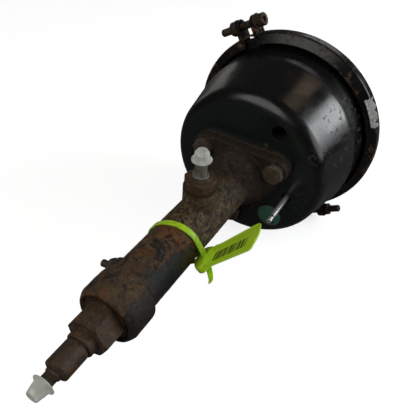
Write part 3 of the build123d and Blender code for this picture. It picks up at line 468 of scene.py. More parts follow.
def plated_steel(name, colour, stained, roughness, groove=None):
    """Plated steel with fine turning marks, brown stains and painted shade in the groove between two stations."""
    made = Finish(name)
    edges = made.shared("Edge wear", Width=0.25 * MM, Breakup=700.0)
    stains = made.span(made.grain(210.0, 7.0, 0.68, 0.6), 0.62 - stained, 0.72)
    fine = made.grain(1500.0, 2.0)
    shade = made.coats(colour, (made.span(fine, 0.3, 0.7, 0.0, 0.25), (0.28, 0.28, 0.27)),
                       (stains, STAIN_BROWN))
    if groove:
        x = made.axis("X")
        inside = made.times(made.math("GREATER_THAN", x, groove[0] * MM),
                            made.math("LESS_THAN", x, groove[1] * MM))
        # Painted shade: the groove between the two stations is coloured near black.
        shade = made.mix(inside, shade, (0.010, 0.009, 0.008))
    rough = made.span(made.grain(320.0, 5.0), 0.3, 0.7, roughness, roughness + 0.18)
    made.give(Base_Color=shade, Roughness=made.total(rough, (stains, 0.3), clamp=True),
              Metallic=made.span(stains, 0.0, 1.0, 0.7, 0.2),
              Normal=made.bump(fine, 0.125, 0.05, edges))


def cap_plastic(name):
    """Soft natural polyethylene that lets light through."""
    made = Finish(name)
    cloud = made.grain(160.0, 5.0, 0.6)
    colour = made.ramp(cloud, (0.3, (0.74, 0.75, 0.68)), (0.7, (0.93, 0.94, 0.89)))
    rough = made.span(made.grain(420.0, 4.0), 0.3, 0.7, 0.26, 0.42)
    made.give(Base_Color=colour, Roughness=rough, Normal=made.bump(cloud, 0.2, 0.10),
              Transmission_Weight=0.60, Subsurface_Weight=0.35, IOR=1.45,
              Subsurface_Radius=(4 * MM, 4 * MM, 3.5 * MM))


def seal_plastic(name):
    """Lime moulded plastic with grime in the strap and rubbed edges."""
    made = Finish(name)
    edges = made.shared("Edge wear", Width=0.5 * MM, Breakup=150.0)
    grime = made.span(made.grain(190.0, 8.0, 0.7, 0.8), 0.50, 0.70, 0.0, 0.55)
    strap = made.span(made.axis("Y"), 30 * MM, 20 * MM)
    dirt = made.times(grime, made.span(strap, 0.0, 1.0, 0.18, 1.0))
    tone = made.grain(40.0, 4.0)
    lime = made.ramp(tone, (0.3, (0.53, 0.93, 0.018)), (0.7, (0.66, 1.0, 0.034)))
    colour = made.coats(lime, (made.times(edges["Mask"], 0.35), (0.52, 0.90, 0.05)),
                        (dirt, (0.075, 0.085, 0.022)))
    made.give(Base_Color=colour, Roughness=made.span(tone, 0.3, 0.7, 0.34, 0.48),
              Normal=made.bump(made.grain(600.0, 3.0), 0.12, 0.08, edges),
              Subsurface_Weight=0.08, Specular_IOR_Level=0.45)


def plain_finish(name, first, second, scale, roughness, metallic=0.0):
    """Mottled single finish for seals, springs and other inner pieces."""
    made = Finish(name)
    mottle = made.grain(scale, 6.0, 0.65)
    made.give(Base_Color=made.ramp(mottle, (0.35, first), (0.65, second)), Metallic=metallic,
              Roughness=made.span(mottle, 0.3, 0.7, roughness, roughness + 0.2),
              Normal=made.bump(mottle, 0.3, 0.15))


def seal_print(name):
    """Dark print on the flag, worn thin in places."""
    made = Finish(name)
    worn = made.span(made.grain(900.0, 4.0), 0.35, 0.65)
    made.give(Base_Color=made.mix(worn, (0.030, 0.050, 0.012), (0.060, 0.095, 0.016)),
              Roughness=made.span(worn, 0.0, 1.0, 0.45, 0.60))


def foil(name):
    """Creased foil with dirt in its folds."""
    made = Finish(name)
    crease = made.grain(420.0, 5.0, 0.6, 1.5)
    dirt = made.span(made.grain(300.0, 6.0, 0.7), 0.55, 0.70, 0.0, 0.8)
    made.give(Base_Color=made.mix(dirt, (0.92, 0.92, 0.90), (0.20, 0.17, 0.13)), Metallic=0.55,
              Roughness=made.span(crease, 0.3, 0.7, 0.28, 0.50),
              Normal=made.bump(crease, 1.0, 1.6))


def disc_paint(name):
    """Paint of the round plate, scraped and dulled in patches."""
    made = Finish(name)
    patch = made.grain(130.0, 6.0, 0.65, 1.0)
    colour = made.coats(tuple(settings().disc_colour),
                        (made.span(patch, 0.52, 0.64, 0.0, 0.7), (0.070, 0.190, 0.150)),
                        (made.span(patch, 0.40, 0.34, 0.0, 0.8), (0.030, 0.040, 0.028)))
    made.give(Base_Color=colour, Roughness=made.span(patch, 0.3, 0.7, 0.30, 0.48),
              Normal=made.bump(patch, 0.5, 0.3))


# Name, dark, light and edge colour, warmth, metal, size of patches, width of the worn edge.
STEELS = (
    ("hexagon steel", (0.034, 0.019, 0.010), (0.150, 0.086, 0.046), (0.20, 0.13, 0.075),
     0.45, 0.25),
    ("adapter steel", (0.034, 0.021, 0.012), (0.100, 0.062, 0.034), (0.17, 0.11, 0.060),
     0.55, 0.15),
    ("nipple steel", (0.024, 0.018, 0.012), (0.080, 0.060, 0.040), (0.15, 0.12, 0.085),
     0.30, 0.30),
    ("flange bolt steel", (0.050, 0.037, 0.026), (0.205, 0.160, 0.112), (0.30, 0.26, 0.20),
     0.15, 0.35, 90.0),
    ("clamp bolt steel", (0.012, 0.010, 0.009), (0.060, 0.044, 0.032), (0.22, 0.18, 0.14),
     0.50, 0.40),
    ("stub steel", (0.020, 0.014, 0.009), (0.105, 0.078, 0.040), (0.60, 0.46, 0.28),
     0.20, 0.55, 150.0, 0.12),
)
# Name, dark and light colour, scale of the mottle, roughness, metal.
PLAIN_FINISHES = (
    ("black rubber", (0.010, 0.010, 0.010), (0.024, 0.024, 0.024), 300.0, 0.62),
    ("gasket board", (0.055, 0.036, 0.020), (0.10, 0.068, 0.038), 500.0, 0.80),
    ("spring steel", (0.055, 0.055, 0.057), (0.115, 0.112, 0.108), 220.0, 0.34, 0.9),
    ("bronze bush", (0.23, 0.14, 0.055), (0.36, 0.23, 0.10), 420.0, 0.36, 0.9),
    ("dull copper", (0.045, 0.022, 0.012), (0.115, 0.055, 0.030), 420.0, 0.50, 0.4),
    ("shaded steel", (0.010, 0.009, 0.008), (0.030, 0.026, 0.022), 300.0, 0.45, 0.3),
    # Near black finish that stands for painted shade inside a hole.
    ("painted hole shade", (0.006, 0.006, 0.006), (0.014, 0.012, 0.010), 420.0, 0.70),
    ("disc edge rust", (0.055, 0.036, 0.020), (0.135, 0.092, 0.052), 420.0, 0.65),
    ("olive dot", (0.030, 0.027, 0.006), (0.072, 0.064, 0.014), 420.0, 0.55),
)


def make_finishes():
    """The shared effects, then every finish that uses them."""
    for effect in (make_edge_wear, make_rust, make_scratches, make_dust):
        effect()
    enamel("shell enamel", base=(0.0024, 0.0023, 0.0022), gloss=0.17, rusty=0.08, cracked=0.80,
           dusty=0.05, edge_width=0.9, shine=0.62)
    enamel("clamp enamel", base=(0.0046, 0.0042, 0.0040), gloss=0.14, rusty=0.40, cracked=0.40,
           dusty=0.10, edge_width=1.3, shine=0.42)
    enamel("pad enamel", base=(0.0055, 0.0055, 0.0058), gloss=0.30, rusty=0.34, cracked=0.30,
           dusty=0.20, edge_width=0.8, shine=0.36)
    rusty_casting("casting")
    for steel in STEELS:
        rusty_steel(*steel)
    plated_steel("pin plate", (0.80, 0.79, 0.76), 0.05, 0.34, groove=(179.2, 180.8))
    plated_steel("dull zinc", (0.33, 0.32, 0.28), 0.12, 0.42)
    plated_steel("machined steel", (0.30, 0.29, 0.27), 0.14, 0.36)
    cap_plastic("cap plastic")
    seal_plastic("seal plastic")
    seal_print("seal print")
    foil("foil")
    disc_paint("disc paint")
    for plain in PLAIN_FINISHES:
        plain_finish(*plain)


FINISH_OF = {
    "black_paint": "shell enamel", "black_paint_clamp": "clamp enamel",
    "black_paint_pad": "pad enamel", "zinc_plate": "dull zinc", "worn_steel": "machined steel",
    "clamp_fasteners": "clamp bolt steel", "flange_bolts": "flange bolt steel",
    "rusty_casting": "casting", "rusty_hexagon": "hexagon steel", "rusty_adapter": "adapter steel",
    "rusty_nipple": "nipple steel", "copper_seal": "dull copper", "dark_stub": "stub steel",
    "plated_stub": "dull zinc", "clear_plastic_cap": "cap plastic",
    "green_plastic": "seal plastic", "rubber": "black rubber", "spring_steel": "spring steel",
    "bronze": "bronze bush", "plated_pin": "pin plate", "gasket_paper": "gasket board",
}
SHADED_NODES = {"vent_port_boss": "shaded steel", "indicator_guide": "shaded steel"}


def finish_frame_nodes():
    """Every CAD node gets the finish of its slot, or a darker one of painted shade where it sits in a hole."""
    for part in frame["record"]["subparts"]:
        finish = SHADED_NODES.get(part["node"]) or FINISH_OF[part["material_slot"]]
        dress(frame["nodes"][part["node"]].data, finish)


# ---- Shared mesh tools ----
def frame_along(origin, direction):
    """Matrix that takes local X to the direction and local zero to the origin (mm to metres)."""
    turn = Vector(direction).normalized().to_track_quat("X", "Z").to_matrix().to_4x4()
    return Matrix.Translation(Vector(origin) * MM) @ turn @ TO_METRES


def shifted(x, y):
    """Matrix that moves local zero to a place on the XY plane (mm to metres)."""
    return Matrix.Translation((x * MM, y * MM, 0)) @ TO_METRES


def around(x, radius, angle):
    """Point at a station, radius and angle round the X axis."""
    return Vector((x, radius * math.cos(angle), radius * math.sin(angle)))


def dress(mesh, *materials):
    """Gives a mesh these materials and no others."""
    mesh.materials.clear()
    for material in materials:
        mesh.materials.append(bpy.data.materials[material])


def new_object(name, data):
    """Object with the given data, linked into the scene."""
    made = bpy.data.objects.new(name, data)
    bpy.context.scene.collection.objects.link(made)
    return made


def settle(piece, body, slot, replaced=()):
    """Puts a finished piece on its body, in its slot and in the place of CAD nodes."""
    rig.ride(piece, body)
    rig.slot(piece, slot)
    if replaced:
        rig.replaces(piece, *replaced)


def new_piece(name, shape, materials, slot, replaced=(), body="chamber", smooth_deg=40.0):
    """Mesh object from vertices in metres and their faces, riding on its body."""
    vertices, faces = shape
    mesh = bpy.data.meshes.new(name)
    mesh.from_pydata([tuple(v) for v in vertices], [], faces)
    mesh.validate()
    dress(mesh, *materials)
    piece = new_object(name, mesh)
    mesh.shade_smooth()
    mesh.set_sharp_from_angle(angle=math.radians(smooth_deg))
    settle(piece, body, slot, replaced)
    return piece


def outward(vertices, faces):
    """The closed mesh with its faces turned so that it has positive volume."""
    volume = 0.0
    for face in faces:
        a = vertices[face[0]]
        for b, c in zip(face[1:], face[2:]):
            volume += a.dot(vertices[b].cross(vertices[c]))
    return vertices, faces if volume > 0 else [face[::-1] for face in faces]


def grid(rows, columns, closed=True):
    """Quads over points that lie row by row; a closed row runs round to its start."""
    faces = []
    for row in range(rows - 1):
        for k in range(columns if closed else columns - 1):
            here, after = row * columns + k, row * columns + (k + 1) % columns
            faces.append([here, after, after + columns, here + columns])
    return faces


def lofted(rows, capped=True):
    """Mesh over closed rows of points, with flat ends or, uncapped, its last row on its first."""
    count = len(rows[0])
    total = count * len(rows)
    faces = grid(len(rows) if capped else len(rows) + 1, count)
    faces = [[corner % total for corner in face] for face in faces]
    if capped:
        faces += [list(range(count))[::-1], list(range(total - count, total))]
    return outward([corner for row in rows for corner in row], faces)


def sheet(rows, columns, border, closed):
    """Faces of a thin sheet: its first side, its second side turned over and its edge."""
    other = rows * columns
    first = grid(rows, columns, closed)
    second = [[other + corner for corner in reversed(face)] for face in first]
    edge = [[a, b, other + b, other + a] for a, b in zip(border, border[1:] + border[:1])]
    return first + second + edge


def lathe_mesh(profile, segments, place, radius_at=None):
    """Vertices and faces of an (x, r) profile turned about local X; ends at r = 0 are closed."""
    vertices, rings, faces = [], [], []
    for x, r in profile:
        first = len(vertices)
        for k in range(segments if r > TINY else 1):
            angle = 2 * math.pi * k / segments
            vertices.append(place @ around(x, radius_at(x, r, angle) if radius_at else r, angle))
        rings.append(range(first, len(vertices)))
    for first, second in zip(rings, rings[1:]):
        for k in range(segments):
            after = (k + 1) % segments
            corners = [first[k % len(first)], second[k % len(second)],
                       second[after % len(second)], first[after % len(first)]]
            face = list(dict.fromkeys(corners))
            if len(face) > 2:
                faces.append(face)
    return vertices, faces


def lathe(name, profile, place, material, slot, replaced, segments, radius_at=None, **options):
    """Turned piece in the place of a CAD node; options are those of new_piece."""
    shape = outward(*lathe_mesh(profile, segments, place, radius_at))
    new_piece(name, shape, [material], slot, replaced, **options)


# ---- Settings ----
class ChamberSettings(bpy.types.PropertyGroup):
    rust_scale: FloatProperty(
        name="Casting relief", default=0.28, min=0.0, max=2.0,
        description="Height of the sand cast skin in millimetres")
    casting_voxel: FloatProperty(
        name="Casting voxel", default=0.9, min=0.4, max=3.0,
        description="Mesh spacing of the casting in millimetres")
    thread_pitch: FloatProperty(
        name="Outlet thread pitch", default=1.0, min=0.5, max=2.0,
        description="Pitch of the M10 outlet thread in millimetres")
    stud_pitch: FloatProperty(
        name="Stud thread pitch", default=2.0, min=0.5, max=3.0,
        description="Pitch of the M16 mounting studs in millimetres")
    cap_segments: IntProperty(
        name="Cap segments", default=96, min=24, max=256,
        description="Segments round each push-on cap")
    bar_count: IntProperty(
        name="Seal bars", default=17, min=4, max=60,
        description="Plain printed bars on the seal's flag")
    disc_colour: FloatVectorProperty(
        name="Disc colour", default=(0.075, 0.250, 0.165), size=3, subtype="COLOR",
        description="Colour of the round plate on the face")
    floor_colour: FloatVectorProperty(
        name="Floor colour", default=(0.80, 0.80, 0.80), size=3, subtype="COLOR",
        description="Colour of the studio floor")
    crust_count: IntProperty(
        name="Rust crust", default=34, min=0, max=200,
        description="Lumps of rust crust under the clamp ring's ear")


def settings():
    return bpy.context.scene.brake_chamber


# ---- Casting ----
def remeshed_copy(node, name, voxel_mm, weld_mm=0.005, smooth_steps=3):
    """Closed, evenly meshed copy of a CAD node with its sharp edges softened."""
    source = frame["nodes"][node].data.copy()
    source.transform(Matrix.Scale(1 / MM, 4))
    piece = new_object(name, source)
    weld = piece.modifiers.new("weld", "WELD")
    weld.merge_threshold = weld_mm
    remesh = piece.modifiers.new("voxels", "REMESH")
    remesh.mode = "VOXEL"
    remesh.voxel_size = voxel_mm
    soften = piece.modifiers.new("soften", "SMOOTH")
    soften.iterations = smooth_steps
    graph = bpy.context.evaluated_depsgraph_get()
    mesh = bpy.data.meshes.new_from_object(piece.evaluated_get(graph))
    mesh.transform(TO_METRES)
    piece.modifiers.clear()
    piece.data = mesh
    mesh.shade_smooth()
    return piece


def build_casting():
    """Cylinder casting with a rounded, grainy sand cast skin."""
    piece = remeshed_copy("hydraulic_cylinder", "casting_skin", settings().casting_voxel)
    bore_side, flange_back = 17.0 * MM, 151.5 * MM
    lump_size, grit_size, pit_size = 5.0 * MM, 1.7 * MM, 2.6 * MM
    lump_share, grit_share, pit_share, pit_threshold = 0.50, 0.35, 1.5, 0.35
    shift = Vector((3.1, 8.7, 5.2))
    height = settings().rust_scale * MM
    normals = [vertex.normal.copy() for vertex in piece.data.vertices]
    for vertex, normal in zip(piece.data.vertices, normals):
        place = vertex.co
        if math.hypot(place.y, place.z) < bore_side or place.x < flange_back:
            continue
        lumps = noise.fractal(place / lump_size + shift, 0.7, 2.0, 3)
        grits = noise.fractal(place / grit_size - shift, 0.9, 2.0, 2)
        pits = max(0.0, noise.noise(place / pit_size + shift * 2) - pit_threshold)
        rise = lump_share * lumps + grit_share * grits - pit_share * pits
        vertex.co += normal * height * rise
    dress(piece.data, "casting")
    settle(piece, "chamber", "rusty_casting", ["hydraulic_cylinder"])


# ---- Threaded pieces ----
STUB_SEGMENTS, SCREW_SEGMENTS = 96, 72


def thread_rows(start, end, crest, pitch, per_turn=12):
    """Close profile rows for a thread, between its two ends."""
    rows = int((end - start) / pitch * per_turn)
    return [(start + (end - start) * k / rows, crest) for k in range(1, rows)]


def thread_wave(start, end, crest, depth, pitch):
    """Radius of a V thread at (x, angle), fading out over its first and last turn."""
    flank, crest_flat = 1.5, 0.25

    def radius_at(x, r, angle):
        if abs(r - crest) > TINY:
            return r
        phase = ((x - start) / pitch - angle / (2 * math.pi)) % 1.0
        wave = abs(2 * phase - 1)
        fade = max(0.0, min(1.0, (x - start) / pitch, (end - x) / pitch))
        cut = min(1.0, max(0.0, wave * flank - crest_flat))
        return r - depth * cut * fade
    return radius_at


def hexagon_radius(apothem, angle):
    """Radius of a hexagon at an angle."""
    sixth = math.pi / 3
    return apothem / math.cos((angle + sixth / 2) % sixth - sixth / 2)


def build_outlet_stub():
    """Outlet stub: plain shank, thread and the land that its cap grips."""
    pitch, crest, depth = settings().thread_pitch, 5.0, 0.65
    shank, start, end, land, tip = 403.3, 405.3, 411.3, 415.3, 417.5
    bore, bore_floor = 2.0, tip - 3.0
    profile = [(shank, 0), (shank, 5.5), (shank + 0.3, 5.8), (start - 0.3, 5.8), (start, 5.5),
               (start, crest), *thread_rows(start, end, crest, pitch), (end, crest),
               (end + 0.2, 4.5), (land, 4.5), (tip, 3.5), (tip, bore), (bore_floor, bore),
               (bore_floor, 0)]
    lathe("outlet_thread", profile, TO_METRES, "stub steel", "dark_stub", ["outlet_stub"],
          STUB_SEGMENTS, thread_wave(start, end, crest, depth, pitch))


def build_mounting_studs():
    """Two threaded studs on the rear face, each with a round head inside the cover."""
    pitch, crest, depth = settings().stud_pitch, 8.0, 1.1
    tip, start, end, rear_face, head, top = -30.0, -29.0, -3.0, -0.05, 3.0, 7.0
    half_spacing = 60.325
    profile = [(tip, 0), (tip, 6.9), (start, 7.95), *thread_rows(start, end, crest, pitch),
               (end, 7.2), (rear_face, 7.2), (rear_face, 7.95), (head, 7.95), (head, 11.0),
               (top - 0.4, 11.0), (top, 10.6), (top, 0)]
    for number, y in enumerate((-half_spacing, half_spacing)):
        lathe(f"stud_thread_{number}", profile, shifted(0.0, y), "machined steel", "worn_steel",
              ["mounting_studs"], SCREW_SEGMENTS, thread_wave(start, end, crest, depth, pitch))


def build_clamp_bolts():
    """Two socket head screws through the clamp ring's ears."""
    pitch, crest, depth, bolt_circle = 1.25, 4.0, 0.7, 114.0
    head, seat, shank, thread_end, end = -20.6, -12.6, 9.0, 31.0, 32.0
    floor, key, key_apothem = head + 4.0, 3.001, 3.0
    profile = [(floor + 0.8, 0), (floor, key), (head + 0.3, key), (head, 4.3), (head, 5.9),
               (head + 0.6, 6.5), (seat, 6.5), (seat, crest), (shank, crest - 0.01),
               *thread_rows(shank, thread_end, crest, pitch, 10), (end, 3.1), (end, 0)]
    thread = thread_wave(shank, thread_end, crest, depth, pitch)

    def radius_at(x, r, angle):
        """Hexagon in the socket, thread on the shank, round elsewhere."""
        return hexagon_radius(key_apothem, angle) if abs(r - key) < TINY else thread(x, r, angle)

    for number, degrees in enumerate((EAR_DEG, EAR_DEG + 180.0)):
        angle = math.radians(degrees)
        along = (0, -math.sin(angle), math.cos(angle))
        place = frame_along(around(CLAMP_X, bolt_circle, angle), along)
        lathe(f"clamp_screw_{number}", profile, place, "clamp bolt steel", "clamp_fasteners",
              ["clamp_bolts"], SCREW_SEGMENTS, radius_at)


# ---- Springs ----
SPRINGS = ("return_spring", "piston_spring")


def build_springs():
    """Springs whose coils close up when the push rod moves."""
    for node in SPRINGS:
        source = frame["nodes"][node]
        piece = new_object(f"{node}_coils", source.data.copy())
        piece.data.transform(source.matrix_world)
        along = [vertex.co.x for vertex in piece.data.vertices]
        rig.blend(piece, "push_rod_group", "chamber", (min(along), 0, 0), (max(along), 0, 0))
        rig.slot(piece, "spring_steel")
        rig.replaces(piece, node)


# ---- Caps ----
OUTLET_CAP_X, OUTLET_CAP_LENGTH = 411.8, 10.7
FEED_CAP_PLACE, FEED_CAP_LENGTH = (232.3, 0, 61.5), 9.5
FEED_RING = {"spot": 6.4, "rise": 0.60, "width": 0.6}


def cap_outline(length):
    """Profile of a push-on cap from its closed end, outside first, to its inner floor."""
    tip = [(length - 0.45, 0), (length - 0.40, 1.9), (length - 0.05, 2.5), (length, 3.9),
           (length - 0.25, 4.4), (length - 0.9, 4.7)]
    skirt = [(6.0, 5.45), (5.4, 5.7), (3.2, 5.95), (1.9, 6.4), (1.35, 7.1), (1.25, 7.9),
             (1.05, 8.3), (0.6, 8.4), (0.2, 8.3), (0.0, 7.9)]
    inside = [(0.25, 7.2), (0.3, 5.4), (0.6, 4.75), (1.2, 4.56), (3.8, 4.54),
              (length - 1.7, 3.3), (length - 1.5, 2.6), (length - 1.5, 0)]
    return tip + skirt + inside


def ring_on(profile, spot, rise, width):
    """The profile with a low rounded ring raised where its outside passes x = spot."""
    result = []
    for (x0, r0), (x1, r1) in zip(profile, profile[1:]):
        result.append((x0, r0))
        if x0 > spot > x1:
            share = (x0 - spot) / (x0 - x1)
            r = r0 + (r1 - r0) * share
            result += [(spot + width, r), (spot + width * 0.7, r + rise), (spot, r + rise * 1.2),
                       (spot - width * 0.7, r + rise), (spot - width, r)]
    return result + [profile[-1]]


def build_caps():
    """Push-on caps of the outlet and of the feed stub, the second with a ring round its cone."""
    feed_profile = ring_on(cap_outline(FEED_CAP_LENGTH), **FEED_RING)
    for cap, profile, place in (
            ("outlet_cap", cap_outline(OUTLET_CAP_LENGTH), shifted(OUTLET_CAP_X, 0.0)),
            ("feed_cap", feed_profile, frame_along(FEED_CAP_PLACE, (0, 0, 1)))):
        lathe(f"{cap}_shell", profile, place, "cap plastic", "clear_plastic_cap", [cap],
              settings().cap_segments, body=f"{cap}_body", smooth_deg=60.0)


# ---- Seal ----
TAG_ORIGIN = Vector((265.5, 27.0, -4.4))
TAG_ALONG = Vector((-0.201, 0.658, 0.726)).normalized()
TAG_OUT = Vector((0.090, -0.725, 0.682)).normalized()
STRAP_SECTION = [(-1.0, -0.35), (-0.8, -0.55), (0.8, -0.55), (1.0, -0.35), (1.0, 0.35),
                 (0.8, 0.55), (-0.8, 0.55), (-1.0, 0.35)]
BAR_SEED = 11
BOX_FACES = ((3, 2, 1, 0), (4, 5, 6, 7), (0, 1, 5, 4), (1, 2, 6, 5), (2, 3, 7, 6), (3, 0, 4, 7))


def tag_frame():
    """Matrix from the tag's own (along, across, out) millimetres to metres."""
    across = TAG_OUT.cross(TAG_ALONG)
    turn = Matrix((TAG_ALONG, across, TAG_OUT)).transposed().to_4x4()
    return Matrix.Translation(TAG_ORIGIN * MM) @ turn @ TO_METRES


def smooth(corners, steps):
    """Catmull-Rom curve from the second corner up to the last but one, which is left out."""
    result = []
    for a, b, c, d in zip(corners, corners[1:], corners[2:], corners[3:]):
        for t in (k / steps for k in range(steps)):
            result.append(0.5 * ((2 * b) + (c - a) * t + (2 * a - 5 * b + 4 * c - d) * t ** 2
                                 + (3 * b - a - 3 * c + d) * t ** 3))
    return result


def smooth_loop(points, steps):
    """Closed curve through the points."""
    corners = [Vector(point) for point in points]
    return smooth([corners[-1], *corners, *corners[:2]], steps)


def smooth_path(points, steps):
    """Open curve through the points."""
    corners = [Vector(point) for point in points]
    before, after = corners[0] * 2 - corners[1], corners[-1] * 2 - corners[-2]
    return smooth([before, *corners, after], steps) + [corners[-1]]


def inset(loop, amount):
    """The closed 2-D loop moved inwards; the loop runs counter-clockwise."""
    result = []
    for i, point in enumerate(loop):
        along = (loop[(i + 1) % len(loop)] - loop[i - 1]).normalized()
        result.append(point + Vector((-along.y, along.x)) * amount)
    return result


def layered(loop, layers, place, capped=True):
    """Mesh from one outline: layers are (inset, height) from the back to the front."""
    rows = [[place @ Vector((p.x, p.y, height)) for p in inset(loop, amount)]
            for amount, height in layers]
    return lofted(rows, capped)


def swept(path, widths, section, place, across):
    """Band along 3-D points; section lists (side, out) corners, its sides scaled by the widths."""
    rows = []
    for i, (point, width) in enumerate(zip(path, widths)):
        ahead = path[min(i + 1, len(path) - 1)] - path[max(i - 1, 0)]
        out = Vector(across).cross(ahead).normalized()
        side = ahead.cross(out).normalized()
        rows.append([place @ (point + side * s * width + out * o) for s, o in section])
    return lofted(rows)


def seal_piece(name, shape, material="seal plastic", replaced=(), smooth_deg=50.0):
    new_piece(name, shape, [material], "green_plastic", replaced, smooth_deg=smooth_deg)


def build_flag(place):
    """Flag of the seal with a raised rim."""
    corners = [(4.0, -13.2), (11.0, -15.0), (19.5, -15.7), (30.0, -16.4), (42.0, -17.2),
               (50.2, -17.7), (53.0, -16.4), (54.3, -12.0), (55.3, -6.0), (55.8, 0.0),
               (55.2, 6.0), (54.3, 11.0), (52.6, 14.6), (49.5, 15.3), (38.0, 14.4),
               (26.0, 13.5), (14.0, 12.5), (5.0, 11.6)]
    loop = smooth_loop(corners, 5)
    layers = [(0.5, -1.4), (0.12, -1.25), (0.0, -0.9), (0.0, -0.35), (0.15, -0.08), (0.5, 0.0)]
    seal_piece("seal_flag", layered(loop, layers, place), replaced=["seal_tag"])
    rim = [(0.9, -0.1), (0.55, 0.30), (1.0, 0.45), (1.6, 0.30), (1.9, -0.1)]
    seal_piece("seal_flag_rim", layered(loop, rim, place, capped=False), smooth_deg=60.0)


def build_head(place):
    """Lock head of the seal with a ridge across it."""
    corners = [(-3.0, -12.4), (3.5, -12.6), (7.0, -6.5), (9.2, 0.5), (9.6, 6.0), (6.6, 11.2),
               (0.0, 14.6), (-5.5, 15.2), (-9.0, 12.0), (-11.4, 3.0), (-8.6, -5.0)]
    layers = [(0.9, -5.0), (0.2, -4.4), (0.0, -3.4), (0.0, 0.2), (0.25, 1.0), (0.9, 1.5),
              (2.2, 1.8), (4.0, 1.9)]
    seal_piece("seal_head", layered(smooth_loop(corners, 6), layers, place))
    ridge = smooth_path([(8.6, 7.2, 1.3), (8.3, 4.5, 2.0), (7.4, 1.2, 2.3), (6.0, -2.2, 2.3),
                         (4.6, -5.2, 2.0), (3.2, -7.8, 1.3)], 5)
    radius, sides = 1.1, 12
    turns = [2 * math.pi * k / sides for k in range(sides)]
    section = [(math.cos(turn), math.sin(turn) * radius) for turn in turns]
    widths = [radius] * len(ridge)
    seal_piece("seal_ridge", swept(ridge, widths, section, place, (0, 0, 1)))


def build_strap():
    """Strap that loops round the cylinder and straightens towards the lock head."""
    radius, half_width, drift, steps = 21.9, 2.75, 6.5, 90
    first_deg, last_deg = 34.8, 306.6
    first, last = math.radians(first_deg), math.radians(last_deg)
    path = [TAG_ORIGIN + Vector((0.0, 1.2, 1.7))]
    for k in range(steps + 1):
        share = k / steps
        x = TAG_ORIGIN.x + drift * math.sin(math.pi * share) ** 1.3
        path.append(around(x, radius, first + (last - first) * share))
    path.append(TAG_ORIGIN + Vector((0.0, -1.0, -2.2)))
    widths = [half_width] * len(path)
    seal_piece("seal_strap", swept(path, widths, STRAP_SECTION, TO_METRES, (1, 0, 0)))


def build_tail(place):
    """Free end of the strap, which narrows towards its tip."""
    root_width, tip_width = 2.6, 1.3
    path = smooth_path([(0.0, -1.0, -4.0), (1.5, -6.5, -7.5), (4.0, -13.0, -9.5),
                        (6.5, -19.0, -10.0), (8.0, -23.5, -9.0)], 8)
    widths = [root_width - (root_width - tip_width) * (k / (len(path) - 1)) ** 2
              for k in range(len(path))]
    seal_piece("seal_tail", swept(path, widths, STRAP_SECTION, place, (1, 0.2, 0)))


def build_bars(place):
    """Plain bars of differing width across the flag."""
    start, length, low, high, thickness = 12.5, 34.0, -10.4, 0.8, 0.06
    count = settings().bar_count
    dice = random.Random(BAR_SEED)
    widths = [dice.choice((0.45, 0.45, 0.8, 1.15)) for _ in range(count)]
    gaps = [dice.choice((0.5, 0.5, 0.85)) for _ in range(count)]
    scale = length / (sum(widths) + sum(gaps))
    vertices, faces = [], []
    for width, gap in zip(widths, gaps):
        end = start + width * scale
        faces += [[len(vertices) + corner for corner in face] for face in BOX_FACES]
        vertices += [place @ Vector((x, y, z)) for z in (0.0, thickness)
                     for x, y in ((start, low), (end, low), (end, high), (start, high))]
        start = end + gap * scale
    seal_piece("seal_bars", outward(vertices, faces), "seal print", smooth_deg=20.0)


def build_seal():
    """Pull-tight seal: flag, lock head, strap round the cylinder, tail and printed bars."""
    place = tag_frame()
    build_flag(place)
    build_head(place)
    build_strap()
    build_tail(place)
    build_bars(place)


# ---- Small trim ----
def build_disc():
    """Thin round plate stuck to the front face, creased and lifted at its edge."""
    centre = Vector((FRONT_FACE_X, 35.0, -43.5))
    radius, rings, segments = 13.0, 14, 96
    front, back, gap, edge_lift, clearance = 0.18, -0.10, 0.25, 0.20, 0.02
    crease_height, crease_width, crease_place = 0.28, 0.9, 2.5
    ripple_height, ripple_size = 0.16, 4.0
    lobes, lobe_share = 5, 0.006
    vertices = []
    for side in (front, back):
        for i in range(rings + 1):
            for k in range(segments):
                angle = 2 * math.pi * k / segments
                out = i / rings
                wave = 1 + lobe_share * math.sin(lobes * angle) * out
                spot = around(0, radius * i / rings * wave, angle)
                across = (spot.y * 0.8 + spot.z * 0.6 - crease_place) / crease_width
                crease = crease_height * math.exp(-across ** 2)
                ripple = ripple_height * noise.noise(spot / ripple_size)
                height = gap + edge_lift * out ** 6 + crease + ripple + side
                vertices.append((centre + spot + Vector((max(clearance, height), 0, 0))) * MM)
    border = [rings * segments + k for k in range(segments)]
    shape = vertices, sheet(rings + 1, segments, border, closed=True)
    piece = new_piece("face_disc", shape, ["disc paint", "disc edge rust"], "black_paint")
    rusty_from = radius * (rings - 0.9) / rings * MM
    for polygon in piece.data.polygons:
        middle = polygon.center - centre * MM
        if math.hypot(middle.y, middle.z) > rusty_from:
            polygon.material_index = 1


def foil_station(radius):
    """Station of the clamp ring's front outside surface at a radius."""
    flank, flank_radius = math.radians(25.0), 99.5
    half_stack, clearance, wall = 4.5, 0.15, 2.5
    outer = CLAMP_X + half_stack + clearance + wall / math.cos(flank)
    return outer + (flank_radius - radius) * math.tan(flank)


